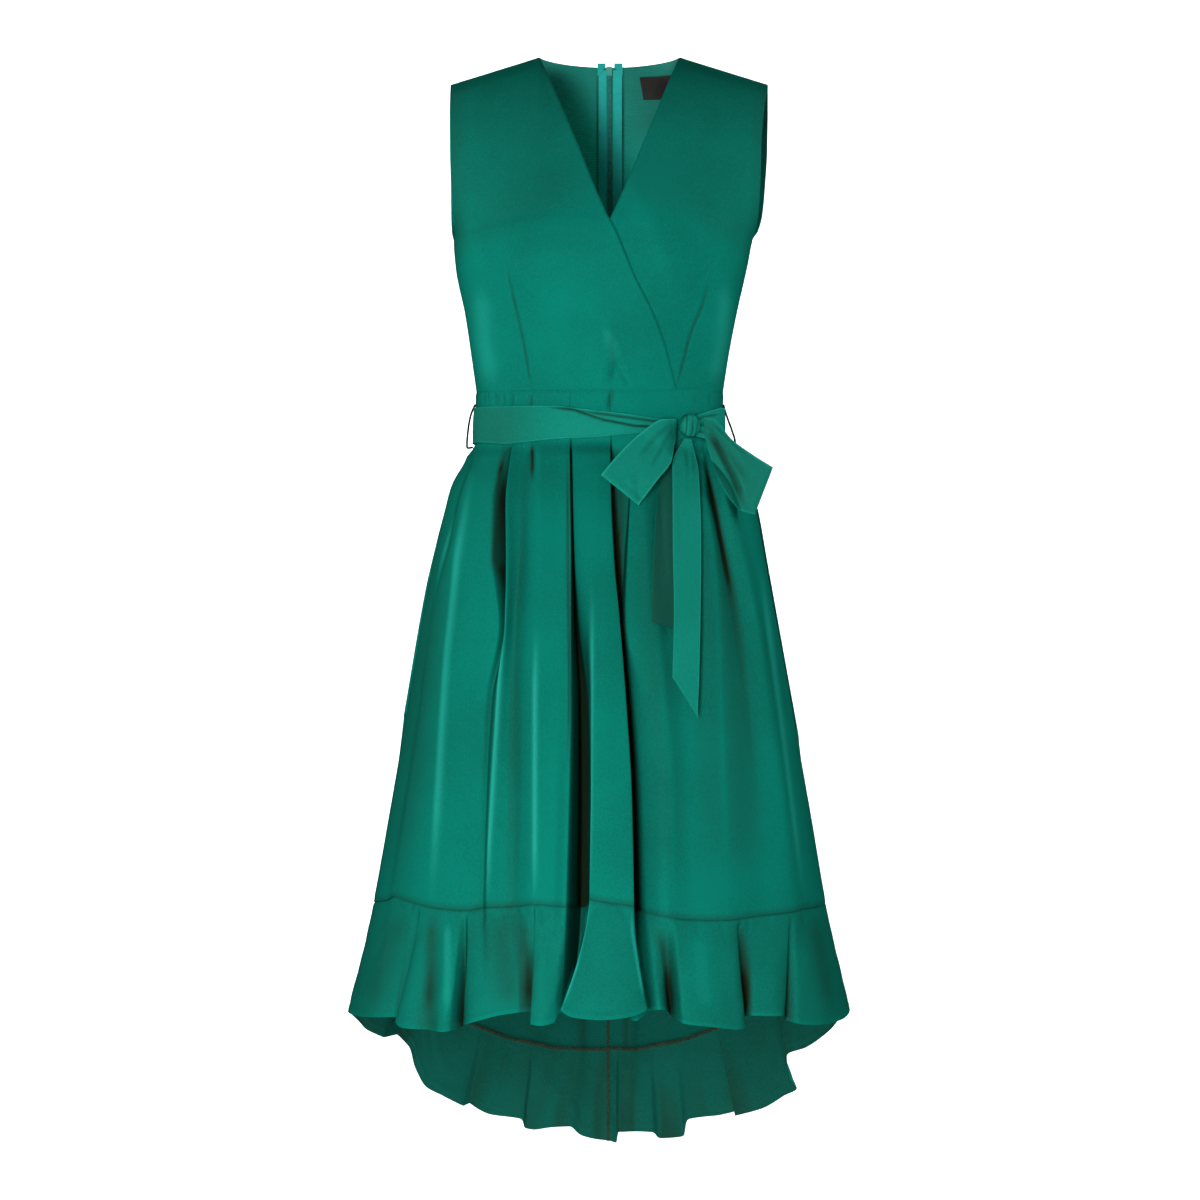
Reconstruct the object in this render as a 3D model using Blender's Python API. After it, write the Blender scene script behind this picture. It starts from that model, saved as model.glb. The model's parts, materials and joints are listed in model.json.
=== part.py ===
"""A sleeveless wrap dress in green satin, with a tied sash and a flounce on a dipped hem.

The dress keeps the hollow form that it has when it is worn, with nobody in it. Metres, +Z up.
The front looks along -Y. The origin lies midway between the two points where the neckline
meets the shoulder seams, so the whole dress hangs below it.
"""

import math

import bpy
import numpy as np

# Cloth and seams
WALL = 0.0012
GAP = 0.0003
HALF_GAP = GAP / 2
TRIM_WALL = 0.0010

# The hem as it hangs: x and z of its corners, in millimetres, from the left side to the right
FRONT_HEM = np.array([
    (-292, -1066), (-234, -1062), (-214, -1071), (-175, -1073), (-153, -1066), (-116, -1054),
    (-92, -1051), (-81, -1064), (-60, -1064), (-53, -1049), (-22, -1056), (8, -1054),
    (39, -1047), (50, -1050), (64, -1050), (73, -1064), (107, -1066), (136, -1070),
    (146, -1068), (153, -1058), (188, -1059), (198, -1067), (223, -1071), (249, -1070), (268, -1062),
])
BACK_HEM = np.array([
    (-292, -1066), (-283, -1093), (-256, -1115), (-233, -1128), (-207, -1172), (-190, -1185),
    (-166, -1196), (-139, -1205), (-102, -1212), (-88, -1225), (-47, -1221), (-32, -1233),
    (8, -1241), (16, -1228), (49, -1228), (58, -1237), (81, -1234), (91, -1213), (127, -1207),
    (147, -1200), (175, -1197), (199, -1180), (211, -1158), (231, -1117), (254, -1092), (268, -1062),
])

# Heights of the seams, down from the neck points
WAIST_Z = -0.376
SHOULDER_DROP = 0.031
NECK_HALF_WIDTH = 0.078
BACK_NECK_DEPTH = 0.060
BACK_NECK_DROP = 0.006
FRONT_SEAM_Z, SIDE_SEAM_Z, BACK_SEAM_Z = -0.938, -0.946, -1.133
SIDE_HEM_Z = -1.067
DIP_POWER = 1.5
ROUNDNESS = 2.3

# Sash
SASH_TOP_Z, SASH_BOTTOM_Z = -0.3940, -0.4335
SASH_COLUMNS = ("x", "top", "bottom")
SASH_FRONT = np.array([
    (-0.160, -0.3935, -0.4325),
    (-0.142, -0.3935, -0.4325),
    (-0.112, -0.3936, -0.4355),
    (-0.058, -0.3938, -0.4300),
    (-0.016, -0.3992, -0.4285),
    (0.020, -0.4030, -0.4250),
    (0.051, -0.4080, -0.4215),
    (0.077, -0.4100, -0.4205),
    (0.096, -0.4030, -0.4270),
    (0.121, -0.3940, -0.4325),
    (0.140, -0.3940, -0.4325),
])
SASH_SHARES = (0.0, 0.25, 0.5, 0.75, 1.0)
SASH_SWELL = 0.0012
SASH_STEPS_ROUND = 60
KNOT_X, KNOT_Y, KNOT_Z = 0.0830, -0.0870, -0.4155
KNOT_HALF_WIDTH, KNOT_HALF_HEIGHT, KNOT_DEPTH = 0.0115, 0.0125, 0.016
KNOT_ROOM = 0.0125
KNOT_RINGS, KNOT_SIDES = 7, 12
KNOT_SQUARE = 0.75
KNOT_CREASE = 0.08

# The bow's loops and the sash's ends: (x, z) of their edges in millimetres, from the knot outwards
LEFT_LOOP_UPPER = ((74, -408), (59, -409), (36, -423), (9, -449), (-10, -472))
LEFT_LOOP_LOWER = ((74, -424), (71, -438), (68, -455), (52, -477), (31, -505))
RIGHT_LOOP_UPPER = ((104, -407), (115, -409), (135, -431), (157, -447), (181, -462))
RIGHT_LOOP_LOWER = ((104, -424), (110, -445), (122, -479), (145, -509), (161, -514))
LEFT_LOOP_TIP_Y, RIGHT_LOOP_TIP_Y = -0.147, -0.088
LOOP_SHARES = (0.0, 0.12, 0.3, 0.5, 0.7, 0.88, 1.0)
LOOP_ROWS = (0.0, 0.33, 0.67, 1.0)
LOOP_ROOT, LOOP_PUFF, LOOP_FULL = 0.0036, 0.0160, 0.9
LOOP_TURN = 1.0022
LOOP_CLEAR = 0.009
FRONT_TAIL_LEFT = ((82, -430), (69, -459), (69, -541), (70, -617), (68, -692))
FRONT_TAIL_RIGHT = ((90, -430), (98, -468), (100, -541), (99, -617), (97, -692), (95, -735))
BACK_TAIL_LEFT = ((78, -430), (52, -498), (47, -570), (45, -631))
BACK_TAIL_RIGHT = ((87, -430), (83, -498), (78, -570), (76, -642))
FRONT_TAIL_STAND, BACK_TAIL_STAND = 0.0056, 0.0022
TAIL_ROWS = (0.0, 0.1, 0.25, 0.45, 0.65, 0.85, 1.0)
TAIL_SHARES = (0.0, 0.33, 0.67, 1.0)
TAIL_CURL = 0.0008

# Thread loops at the sides
THREAD_RADIUS = 0.0009
THREAD_TOP_Z, THREAD_BOTTOM_Z = -0.3890, -0.4380
THREAD_START, LOOP_REACH = 0.0020, 0.0115
THREAD_POINTS = 13

# The zip and label inside the centre back
ZIP_TOP_Z, ZIP_BOTTOM_Z = -0.0160, -0.5300
ZIP_STAND, ZIP_SKIRT_STAND = 0.0018, 0.0026
TAPE_LEFT_X, TAPE_RIGHT_X, COIL_X = (-0.0120, -0.0032), (0.0042, 0.0141), (-0.0026, 0.0036)
COIL_THICK = 0.0016
SLIDER_WIDTH, SLIDER_THICK, SLIDER_BOTTOM_Z = 0.0066, 0.0026, -0.0152
SLIDER_ROOM = 0.0015
EAR_WIDTH, EAR_THICK = 0.0012, 0.0010
EYE_Y, EYE_Z, EYE_ROOM = 0.0645, -0.0068, 0.0011
PULL_WIDTH, PULL_THICK, PULL_RAIL = 0.0050, 0.0010, 0.0012
PULL_WINDOW, PULL_LENGTH = 0.0034, 0.0200
LABEL_X = (0.0790, 0.0340)
LABEL_TOP_Z, LABEL_BOTTOM_Z = -0.0175, -0.0425
LABEL_STAND = 0.0030

# The bodice's shape and how its grids are laid out
SHOULDER_LENGTH = 0.100
BUST_MIDDLE_X, BUST_X, BUST_Z = -0.006, 0.092, -0.238
BUST_SPREAD, BUST_EASE = 0.048, 0.010
NECK_FADE_T = 0.6
NECK_TURN_X = 0.045
LAP_REACH, LAP_EASE, LAP_STEP = 0.018, 0.030, 0.0030
BODICE_ROWS = (0.0, 0.03, 0.08, 0.15, 0.24, 0.33, 0.42, 0.47, 0.51, 0.58, 0.67, 0.78, 0.9, 1.0)
PANEL_SHARES = (0.0, 0.015, 0.05, 0.11, 0.19, 0.29, 0.40, 0.52, 0.64, 0.76, 0.88, 1.0)
HIP_Z = -0.507
LEVEL_ROWS = (-0.394, -0.414, -0.434, -0.442, -0.451, -0.465, -0.479, -0.493)
SKIRT_ROWS = (0.0,) + tuple((z - WAIST_Z) / (HIP_Z - WAIST_Z) for z in LEVEL_ROWS)
SKIRT_ROWS += (1.0, 1.12, 1.27, 1.45, 1.65, 1.83, 2.0)
FLOUNCE_ROWS = (0.0, 0.3, 0.65, 1.0)
SIDE_STEPS = 3

# Sections of the body of the dress, from the underarm to the back hem
SECTION_COLUMNS = ("z", "left", "right", "front", "back")
SECTIONS = np.array([
    (-0.207, -0.1745, 0.1605, 0.117, 0.105),
    (-0.234, -0.1719, 0.1540, 0.120, 0.103),
    (-0.288, -0.1618, 0.1428, 0.110, 0.097),
    (-0.342, -0.1540, 0.1327, 0.100, 0.090),
    (-0.376, -0.1490, 0.1272, 0.097, 0.088),
    (-0.434, -0.1505, 0.1262, 0.100, 0.092),
    (-0.451, -0.1600, 0.1385, 0.108, 0.100),
    (-0.479, -0.1764, 0.1555, 0.124, 0.114),
    (-0.507, -0.1842, 0.1641, 0.138, 0.127),
    (-0.563, -0.1966, 0.1742, 0.158, 0.147),
    (-0.619, -0.2078, 0.1842, 0.175, 0.165),
    (-0.731, -0.2268, 0.2044, 0.203, 0.193),
    (-0.843, -0.2458, 0.2246, 0.226, 0.216),
    (-0.955, -0.2660, 0.2436, 0.245, 0.234),
    (-1.011, -0.2783, 0.2559, 0.252, 0.242),
    (-1.067, -0.2918, 0.2682, 0.258, 0.249),
    (-1.150, -0.2990, 0.2760, 0.262, 0.256),
    (-1.250, -0.3040, 0.2820, 0.266, 0.262),
])

# The two bodice walls, from the shoulder seam (t = 0) to the waist seam (t = 1). The share is how far
# forward or back the armhole's edge lies, of the wall's own depth there.
BODICE_COLUMNS = ("t", "left", "right", "depth", "share")
BODICE_FRONT = np.array([
    (0.00, -0.1780, 0.1775, 0.000, 0.55),
    (0.04, -0.1778, 0.1752, 0.029, 0.56),
    (0.10, -0.1773, 0.1722, 0.052, 0.58),
    (0.20, -0.1765, 0.1690, 0.075, 0.60),
    (0.32, -0.1757, 0.1678, 0.093, 0.54),
    (0.42, -0.1738, 0.1662, 0.107, 0.37),
    (0.48, -0.1722, 0.1635, 0.114, 0.17),
    (0.51, -0.1745, 0.1605, 0.117, 0.00),
    (0.60, -0.1722, 0.1545, 0.120, 0.00),
    (0.75, -0.1618, 0.1428, 0.110, 0.00),
    (0.90, -0.1540, 0.1327, 0.100, 0.00),
    (1.00, -0.1490, 0.1272, 0.097, 0.00),
])
BODICE_BACK = np.array([
    (0.00, -0.1780, 0.1775, 0.000, 0.55),
    (0.04, -0.1792, 0.1780, 0.030, 0.56),
    (0.10, -0.1800, 0.1785, 0.056, 0.58),
    (0.20, -0.1802, 0.1783, 0.080, 0.60),
    (0.32, -0.1792, 0.1760, 0.097, 0.53),
    (0.42, -0.1786, 0.1725, 0.104, 0.40),
    (0.48, -0.1770, 0.1665, 0.105, 0.20),
    (0.51, -0.1745, 0.1605, 0.105, 0.00),
    (0.60, -0.1722, 0.1545, 0.103, 0.00),
    (0.75, -0.1618, 0.1428, 0.097, 0.00),
    (0.90, -0.1540, 0.1327, 0.090, 0.00),
    (1.00, -0.1490, 0.1272, 0.088, 0.00),
])

# The free edge of each front, from the neck point past the V to the waist
EDGE_COLUMNS = ("z", "over", "under")
FRONT_EDGES = np.array([
    (0.0000, -0.0780, 0.0780),
    (-0.0948, -0.0392, 0.0400),
    (-0.1836, -0.0029, 0.0026),
    (-0.2000, 0.0060, -0.0065),
    (-0.2530, 0.0279, -0.0290),
    (-0.2894, 0.0466, -0.0480),
    (-0.3233, 0.0599, -0.0610),
    (-0.3682, 0.0719, -0.0730),
    (-0.3760, 0.0741, -0.0752),
])

# Folds of the skirt and flounce. A row holds the x of the valley, then its half width and its depth,
# at the six heights of STATIONS, in millimetres. All are on the front or all on the back.
STATIONS = (-0.434, -0.521, -0.651, -0.791, -0.940, -1.056)
BACK_STATIONS = (-0.434, -0.540, -0.690, -0.880, -1.100, -1.240)
FOLD_COLUMNS = ("name", "x", "half_width", "depth")
FRONT_FOLDS = (
    ("side_left", (-143, -164, -190, -209, -226, -255), (6, 10, 14, 15, 12, 9), (3, 3, 3, 5, 4, 12)),
    ("flounce_left", (-128, -147, -171, -190, -203, -227), (5, 6, 9, 12, 9, 8), (5, 4, 2, 1, 2, 18)),
    ("pleat_tuck", (-110, -129, -151, -164, -174, -193), (5, 6, 8, 10, 10, 8), (7, 9, 4, 2, 2, 12)),
    ("pleat_left", (-86, -116, -130, -141, -151, -162), (6, 8, 12, 15, 13, 9), (9, 15, 11, 8, 6, 11)),
    ("drape_left", (-63, -87, -99, -107, -114, -121), (5, 9, 12, 13, 11, 9), (6, 4, 3, 4, 4, 12)),
    ("flounce_mid", (-54, -61, -68, -75, -79, -88), (4, 6, 7, 8, 7, 7), (5, 2, 1, 1, 2, 16)),
    ("deep_left", (-44, -42, -34, -33, -34, -52), (5, 7, 9, 10, 10, 8), (9, 16, 26, 31, 34, 38)),
    ("deep_right", (12, 12, 16, 23, 30, 38), (6, 8, 8, 8, 8, 8), (10, 18, 22, 26, 29, 31)),
    ("flounce_right", (50, 54, 58, 60, 62, 71), (6, 7, 9, 11, 9, 8), (6, 4, 2, 1, 2, 15)),
    ("drape_right", (77, 91, 107, 116, 126, 138), (5, 8, 12, 14, 12, 8), (6, 3, 3, 3, 2, 10)),
    ("pleat_right", (101, 120, 143, 156, 165, 172), (5, 7, 10, 14, 13, 10), (7, 10, 8, 5, 3, 18)),
    ("side_right", (119, 145, 174, 194, 209, 227), (5, 8, 12, 14, 12, 9), (4, 4, 3, 3, 3, 12)),
)
BACK_FOLDS = (
    ("edge_right", (133, 165, 188, 212, 224, 214), (6, 8, 10, 11, 10, 9), (4, 5, 6, 7, 8, 13)),
    ("side_right", (106, 129, 150, 165, 172, 162), (6, 9, 14, 16, 13, 10), (6, 8, 7, 6, 5, 16)),
    ("mid_right", (77, 92, 104, 113, 116, 104), (6, 8, 11, 13, 11, 9), (6, 9, 6, 4, 3, 15)),
    ("inner_right", (46, 55, 62, 66, 66, 56), (6, 8, 12, 14, 12, 9), (6, 8, 7, 6, 5, 16)),
    ("centre_right", (16, 19, 22, 24, 24, 21), (5, 6, 7, 8, 7, 7), (5, 6, 6, 6, 6, 13)),
    ("centre_left", (-22, -27, -31, -34, -36, -38), (5, 6, 8, 9, 8, 8), (5, 6, 7, 7, 7, 15)),
    ("inner_left", (-54, -65, -74, -82, -88, -96), (6, 8, 12, 14, 12, 9), (6, 8, 7, 6, 5, 16)),
    ("mid_left", (-84, -103, -118, -131, -140, -150), (6, 8, 11, 13, 11, 9), (6, 9, 6, 4, 3, 15)),
    ("side_left", (-113, -140, -164, -184, -197, -206), (6, 9, 14, 16, 13, 10), (6, 8, 7, 6, 5, 16)),
    ("edge_left", (-144, -178, -206, -232, -246, -254), (6, 8, 10, 11, 10, 9), (4, 5, 6, 7, 8, 12)),
)
MILLIMETRE = 0.001
FRONT_BULGE = (0.0, 0.002, 0.003, 0.003, 0.003, 0.010)
BACK_BULGE = (0.0, 0.002, 0.003, 0.003, 0.003, 0.010)

# How the cloth's grids are laid out
STEEPEST = 3.0
SEAM_CALM = 0.22
SETTLING_STEPS = 4
SHARE_OF_ROOM = 0.42
WIDE = 0.012
LEAST_STEP = 0.022
SHARP = math.radians(50)
FRONT_OFFSETS = (-1.6, -0.75, 0.0, 0.75, 1.6)
BACK_OFFSETS = (-1.3, 0.0, 1.3)
NO_X, NO_Y, NO_Z = np.array([0, 1, 1]), np.array([1, 0, 1]), np.array([1, 1, 0])

# Colours, roughness and metallic values
SATIN = ("satin", (0.010, 0.180, 0.125, 1.0), 0.38, 0.0)
TAPE = ("zip_tape_cloth", (0.012, 0.190, 0.150, 1.0), 0.80, 0.0)
NYLON = ("zip_nylon", (0.008, 0.100, 0.080, 1.0), 0.45, 0.0)
METAL = ("zip_metal", (0.020, 0.200, 0.150, 1.0), 0.35, 0.3)
LABEL = ("label_cloth", (0.010, 0.007, 0.005, 1.0), 0.70, 0.0)
THREAD = ("loop_thread", (0.010, 0.080, 0.055, 1.0), 0.70, 0.0)


def column(table, names, name):
    """One named column of a table of numbers."""
    return table[:, names.index(name)]


def smooth(knots, values, at):
    """A cubic through the knots, without the overshoot that a steep neighbour would give."""
    knots, values = np.asarray(knots, float), np.asarray(values, float)
    if knots[0] > knots[-1]:
        knots, values = knots[::-1], values[::-1]
    steps = np.diff(knots)
    slopes = np.diff(values) / steps
    inner = np.where(
        slopes[:-1] * slopes[1:] > 0,
        2 * slopes[:-1] * slopes[1:] / (slopes[:-1] + slopes[1:] + 1e-30),
        0.0,
    )
    tangents = np.concatenate([slopes[:1], inner, slopes[-1:]])
    at = np.clip(at, knots[0], knots[-1])
    cell = np.clip(np.searchsorted(knots, at, side="right") - 1, 0, len(steps) - 1)
    width = steps[cell]
    f = (at - knots[cell]) / width
    return (
        (1 + 2 * f) * (1 - f) ** 2 * values[cell]
        + f * (1 - f) ** 2 * width * tangents[cell]
        + f * f * (3 - 2 * f) * values[cell + 1]
        + f * f * (f - 1) * width * tangents[cell + 1]
    )


def section_at(z, name):
    """A size of the body's section at height z."""
    return smooth(column(SECTIONS, SECTION_COLUMNS, "z"), column(SECTIONS, SECTION_COLUMNS, name), z)


def ring(angle, z):
    """(x, y) on the smooth body at this angle round it and this height. Angle -90 degrees is the front."""
    left, right = section_at(z, "left"), section_at(z, "right")
    side = np.cos(angle)
    deep = np.sin(angle)
    power = 2 / ROUNDNESS
    x = (left + right) / 2 + (right - left) / 2 * np.sign(side) * np.abs(side) ** power
    reach = np.where(deep < 0, section_at(z, "front"), section_at(z, "back"))
    return x, reach * np.sign(deep) * np.abs(deep) ** power


def angle_of(x, z, front):
    """The angle round the body at which the front, or the back, has this x."""
    left, right = section_at(z, "left"), section_at(z, "right")
    across = np.clip((x - (left + right) / 2) / ((right - left) / 2), -1, 1)
    side = np.sign(across) * np.abs(across) ** (ROUNDNESS / 2)
    return -np.arccos(side) if front else np.arccos(side)


def seam_z(angle):
    """The height of the flounce's seam: nearly level in front and dipping behind."""
    deep = np.sin(angle)
    front = SIDE_SEAM_Z + (FRONT_SEAM_Z - SIDE_SEAM_Z) * np.abs(deep)
    back = SIDE_SEAM_Z + (BACK_SEAM_Z - SIDE_SEAM_Z) * np.abs(deep) ** DIP_POWER
    return np.where(deep < 0, front, back)


def hem_z(angle):
    """The height of the hem, which dips behind and hangs lower in some waves than in others."""
    x = ring(angle, np.full_like(angle, SIDE_HEM_Z))[0] / MILLIMETRE
    front = np.interp(x, FRONT_HEM[:, 0], FRONT_HEM[:, 1])
    back = np.interp(x, BACK_HEM[:, 0], BACK_HEM[:, 1])
    return np.where(np.sin(angle) < 0, front, back) * MILLIMETRE


def lies_in_front(angle):
    return np.sin(angle) < 0


def skirt_z(down, angle):
    """Heights on the skirt: level rows down to the hip (0 to 1), then on to the flounce's seam (2)."""
    top, low = WAIST_Z - HALF_GAP, seam_z(angle) + HALF_GAP
    upper = top + min(down, 1) * (HIP_Z - top)
    return upper + max(down - 1, 0) * (low - upper)


def flounce_z(down, angle):
    """Heights on the flounce, from its seam (0) to the hem (1)."""
    top = seam_z(angle) - HALF_GAP
    return top + down * (hem_z(angle) - top)


def bend(x, z, front):
    """How much longer the section's line is than its x at this place."""
    left, right = section_at(z, "left"), section_at(z, "right")
    half = (right - left) / 2
    deep = section_at(z, "front" if front else "back")
    across = np.clip(np.abs((x - (left + right) / 2) / half), 0, 0.98)
    slope = deep / half * across ** (ROUNDNESS - 1) * (1 - across**ROUNDNESS) ** (1 / ROUNDNESS - 1)
    return np.minimum(np.hypot(1, slope), STEEPEST)


def fold_sizes(z, front):
    """The x, half width across x, and depth of every fold of the front or back at heights z."""
    folds, stations = (FRONT_FOLDS, STATIONS) if front else (BACK_FOLDS, BACK_STATIONS)
    middle, half, depth = (
        np.array([smooth(stations, row[FOLD_COLUMNS.index(size)], z) * MILLIMETRE for row in folds])
        for size in ("x", "half_width", "depth")
    )
    return middle, half / bend(middle, z, front), depth


def relief(angle, z, front):
    """How far the cloth stands out from the smooth body: its valleys, and the swell between them."""
    x = ring(angle, z)[0]
    middle, half, depth = fold_sizes(z, front)
    relief_there = -(depth * np.exp(-(((x - middle) / half) ** 2))).sum(axis=0)
    stations, bulge = (STATIONS, FRONT_BULGE) if front else (BACK_STATIONS, BACK_BULGE)
    ends = np.array([section_at(z, "left"), section_at(z, "right")])
    posts = np.concatenate([ends[:1], np.sort(middle, axis=0), ends[1:]])
    for low, high in zip(posts[:-1], posts[1:]):
        share = np.clip((x - low) / np.maximum(high - low, 1e-9), 0, 1)
        relief_there = relief_there + smooth(stations, bulge, z) * np.sin(np.pi * share) ** 2
    return relief_there * (1 - np.exp(-((np.sin(angle) / SEAM_CALM) ** 2)))


def outward(angle, z):
    """The level direction that faces out from the smooth body."""
    left, right = section_at(z, "left"), section_at(z, "right")
    deep = np.where(lies_in_front(angle), section_at(z, "front"), section_at(z, "back"))
    x, y = ring(angle, z)
    half = (right - left) / 2
    across = (x - (left + right) / 2) / half
    along = y / deep
    normal_x = np.sign(across) * np.abs(across) ** (ROUNDNESS - 1) / half
    normal_y = np.sign(along) * np.abs(along) ** (ROUNDNESS - 1) / deep
    length = np.hypot(normal_x, normal_y)
    return normal_x / length, normal_y / length


def cloth_points(angle, z, front):
    """Points of the pleated cloth, outside."""
    x, y = ring(angle, z)
    out_x, out_y = outward(angle, z)
    stand = relief(angle, z, front)
    return np.stack([x + out_x * stand, y + out_y * stand, z], axis=-1)


def spread(angles, first, last):
    """The same angles, moved where needed so that they rise by a least step between two bounds."""
    spaced = [max(angles[0], first)]
    for angle in angles[1:]:
        spaced.append(max(angle, spaced[-1] + LEAST_STEP))
    for i in range(len(spaced)):
        spaced[-1 - i] = min(spaced[-1 - i], last - i * LEAST_STEP)
    return spaced


def fold_columns(down, height, front, offsets, side_steps):
    """The angles of one row's columns, which keep to the folds as these run down the cloth."""
    count = len(FRONT_FOLDS if front else BACK_FOLDS)
    angles = np.full(count, -math.pi / 2 if front else math.pi / 2)
    for _ in range(SETTLING_STEPS):
        z = height(down, angles)
        middle = np.diagonal(fold_sizes(z, front)[0])
        angles = angle_of(middle, z, front)
    half = np.diagonal(fold_sizes(z, front)[1])
    room = np.abs(np.diff(middle))
    before = np.concatenate([[WIDE], room]) * SHARE_OF_ROOM
    after = np.concatenate([room, [WIDE]]) * SHARE_OF_ROOM
    way = 1 if front else -1
    columns = []
    for i in range(count):
        for offset in offsets:
            reach = min(abs(offset) * half[i], (before if offset < 0 else after)[i])
            columns.append(float(angle_of(middle[i] + way * math.copysign(reach, offset), z[i], front)))
    first, last = (-math.pi, 0.0) if front else (0.0, math.pi)
    columns = spread(columns, first + side_steps * LEAST_STEP, last - side_steps * LEAST_STEP)
    filled = list(np.linspace(first, columns[0], side_steps + 1)[:-1])
    for i, angle in enumerate(columns):
        if i and i % len(offsets) == 0:
            filled.append((columns[i - 1] + angle) / 2)
        filled.append(angle)
    return np.array(filled + list(np.linspace(columns[-1], last, side_steps + 1)[1:]))


def fold_grid(downs, height, front, offsets, side_steps):
    """Outer points of a whole front or back, row by row."""
    rows = []
    for down in downs:
        angle = fold_columns(down, height, front, offsets, side_steps)
        rows.append(cloth_points(angle, height(down, angle), front))
    return np.array(rows)


def grid_normals(points, level, flat):
    """Unit directions that face out, at each point of a grid whose columns run anticlockwise.

    A seam's edge is made square to the seam by the share that flat keeps of each axis there, so
    that two walls that meet keep their gap all through.
    """
    down = np.gradient(points, axis=0)
    across = np.gradient(points, axis=1)
    normals = np.cross(down, across)
    if level:
        normals = np.stack([across[..., 1], -across[..., 0], np.zeros(across.shape[:2])], axis=-1)
    edges = {"top": (0, slice(None)), "bottom": (-1, slice(None)),
             "first": (slice(None), 0), "last": (slice(None), -1)}
    for edge, kept in flat.items():
        normals[edges[edge]] *= kept
    return normals / np.linalg.norm(normals, axis=-1, keepdims=True)


def two_triangles(quad, corners):
    """The quad cut along its shorter diagonal. Both sides of a wall are cut alike, so they never cross."""
    a, b, c, d = quad
    if np.linalg.norm(corners[a] - corners[c]) <= np.linalg.norm(corners[b] - corners[d]):
        return [a, b, c], [a, c, d]
    return [a, b, d], [b, c, d]


def wall(name, points, finish, thickness=WALL, level=False, flat=None):
    """A closed wall whose outer side is this grid of points."""
    points = np.asarray(points, float)
    inner = points - thickness * grid_normals(points, level, flat or {})
    rows, columns = points.shape[:2]
    count = rows * columns
    index = np.arange(count).reshape(rows, columns)
    faces = []
    for i in range(rows - 1):
        for j in range(columns - 1):
            quad = [index[i, j], index[i + 1, j], index[i + 1, j + 1], index[i, j + 1]]
            for triangle in two_triangles(quad, points.reshape(-1, 3)):
                faces.append(triangle)
                faces.append([corner + count for corner in reversed(triangle)])
    rim = list(index[0, :]) + list(index[1:, -1]) + list(index[-1, -2::-1]) + list(index[-2:0:-1, 0])
    for here, there in zip(rim, rim[1:] + rim[:1]):
        faces.append([here, there, there + count, here + count])
    corners = np.concatenate([points.reshape(-1, 3), inner.reshape(-1, 3)])
    return solid(name, corners, faces, finish)


def solid(name, corners, faces, finish):
    """A mesh object of these corners and faces, with its material."""
    mesh = bpy.data.meshes.new(name)
    mesh.from_pydata([tuple(map(float, corner)) for corner in corners], [],
                     [[int(corner) for corner in face] for face in faces])
    mesh.validate()
    mesh.shade_smooth()
    mesh.set_sharp_from_angle(angle=SHARP)
    mesh.materials.append(material(*finish))
    made = bpy.data.objects.new(name, mesh)
    bpy.context.scene.collection.objects.link(made)
    return made


def material(name, colour, roughness, metallic):
    """The Principled BSDF of this name."""
    made = bpy.data.materials.get(name)
    if made is None:
        made = bpy.data.materials.new(name)
        made.use_nodes = True
        shader = made.node_tree.nodes["Principled BSDF"]
        shader.inputs["Base Color"].default_value = colour
        shader.inputs["Roughness"].default_value = roughness
        shader.inputs["Metallic"].default_value = metallic
    return made


def clear_scene():
    for old in list(bpy.data.objects):
        bpy.data.objects.remove(old, do_unlink=True)


def shoulder_z(x):
    """The height of the shoulder seam at this x, or of the neck points nearer the middle."""
    return -SHOULDER_DROP * np.clip((np.abs(x) - NECK_HALF_WIDTH) / SHOULDER_LENGTH, 0, 1)


def bodice_size(table, t, name):
    return smooth(column(table, BODICE_COLUMNS, "t"), column(table, BODICE_COLUMNS, name), t)


def bodice_depth(table, x, t):
    """How far the wall lies from the plane of the shoulder seams."""
    left, right = bodice_size(table, t, "left"), bodice_size(table, t, "right")
    share = bodice_size(table, t, "share")
    half = (right - left) / 2 / (1 - share**ROUNDNESS) ** (1 / ROUNDNESS)
    across = np.clip(np.abs(x - (left + right) / 2) / half, 0, 1)
    return bodice_size(table, t, "depth") * (1 - across**ROUNDNESS) ** (1 / ROUNDNESS), across


def front_point(x, t):
    """A point of the bodice's front, outside, at this x and share of the way to the waist."""
    z = shoulder_z(x) * (1 - t) + WAIST_Z * t
    depth, across = bodice_depth(BODICE_FRONT, x, t)
    away = ((np.abs(x - BUST_MIDDLE_X) - BUST_X) ** 2 + (z - BUST_Z) ** 2) / BUST_SPREAD**2
    return np.array([x, -depth - BUST_EASE * np.exp(-away) * (1 - across**4), z])


def back_point(x, t):
    """A point of the bodice's back, outside. Its top is the neck's curve between the shoulder seams."""
    near = np.clip(np.abs(x) / NECK_HALF_WIDTH, 0, 1)
    neck = BACK_NECK_DEPTH * (1 - near**ROUNDNESS) ** (1 / ROUNDNESS) * (1 - min(t / NECK_FADE_T, 1))
    top = shoulder_z(x) - BACK_NECK_DROP * (1 - near**2)
    depth = bodice_depth(BODICE_BACK, x, t)[0]
    return np.array([x, (depth**3 + neck**3) ** (1 / 3), top * (1 - t) + WAIST_Z * t])


def front_edge(t, side):
    return smooth(column(FRONT_EDGES, EDGE_COLUMNS, "z"), column(FRONT_EDGES, EDGE_COLUMNS, side), WAIST_Z * t)


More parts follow.
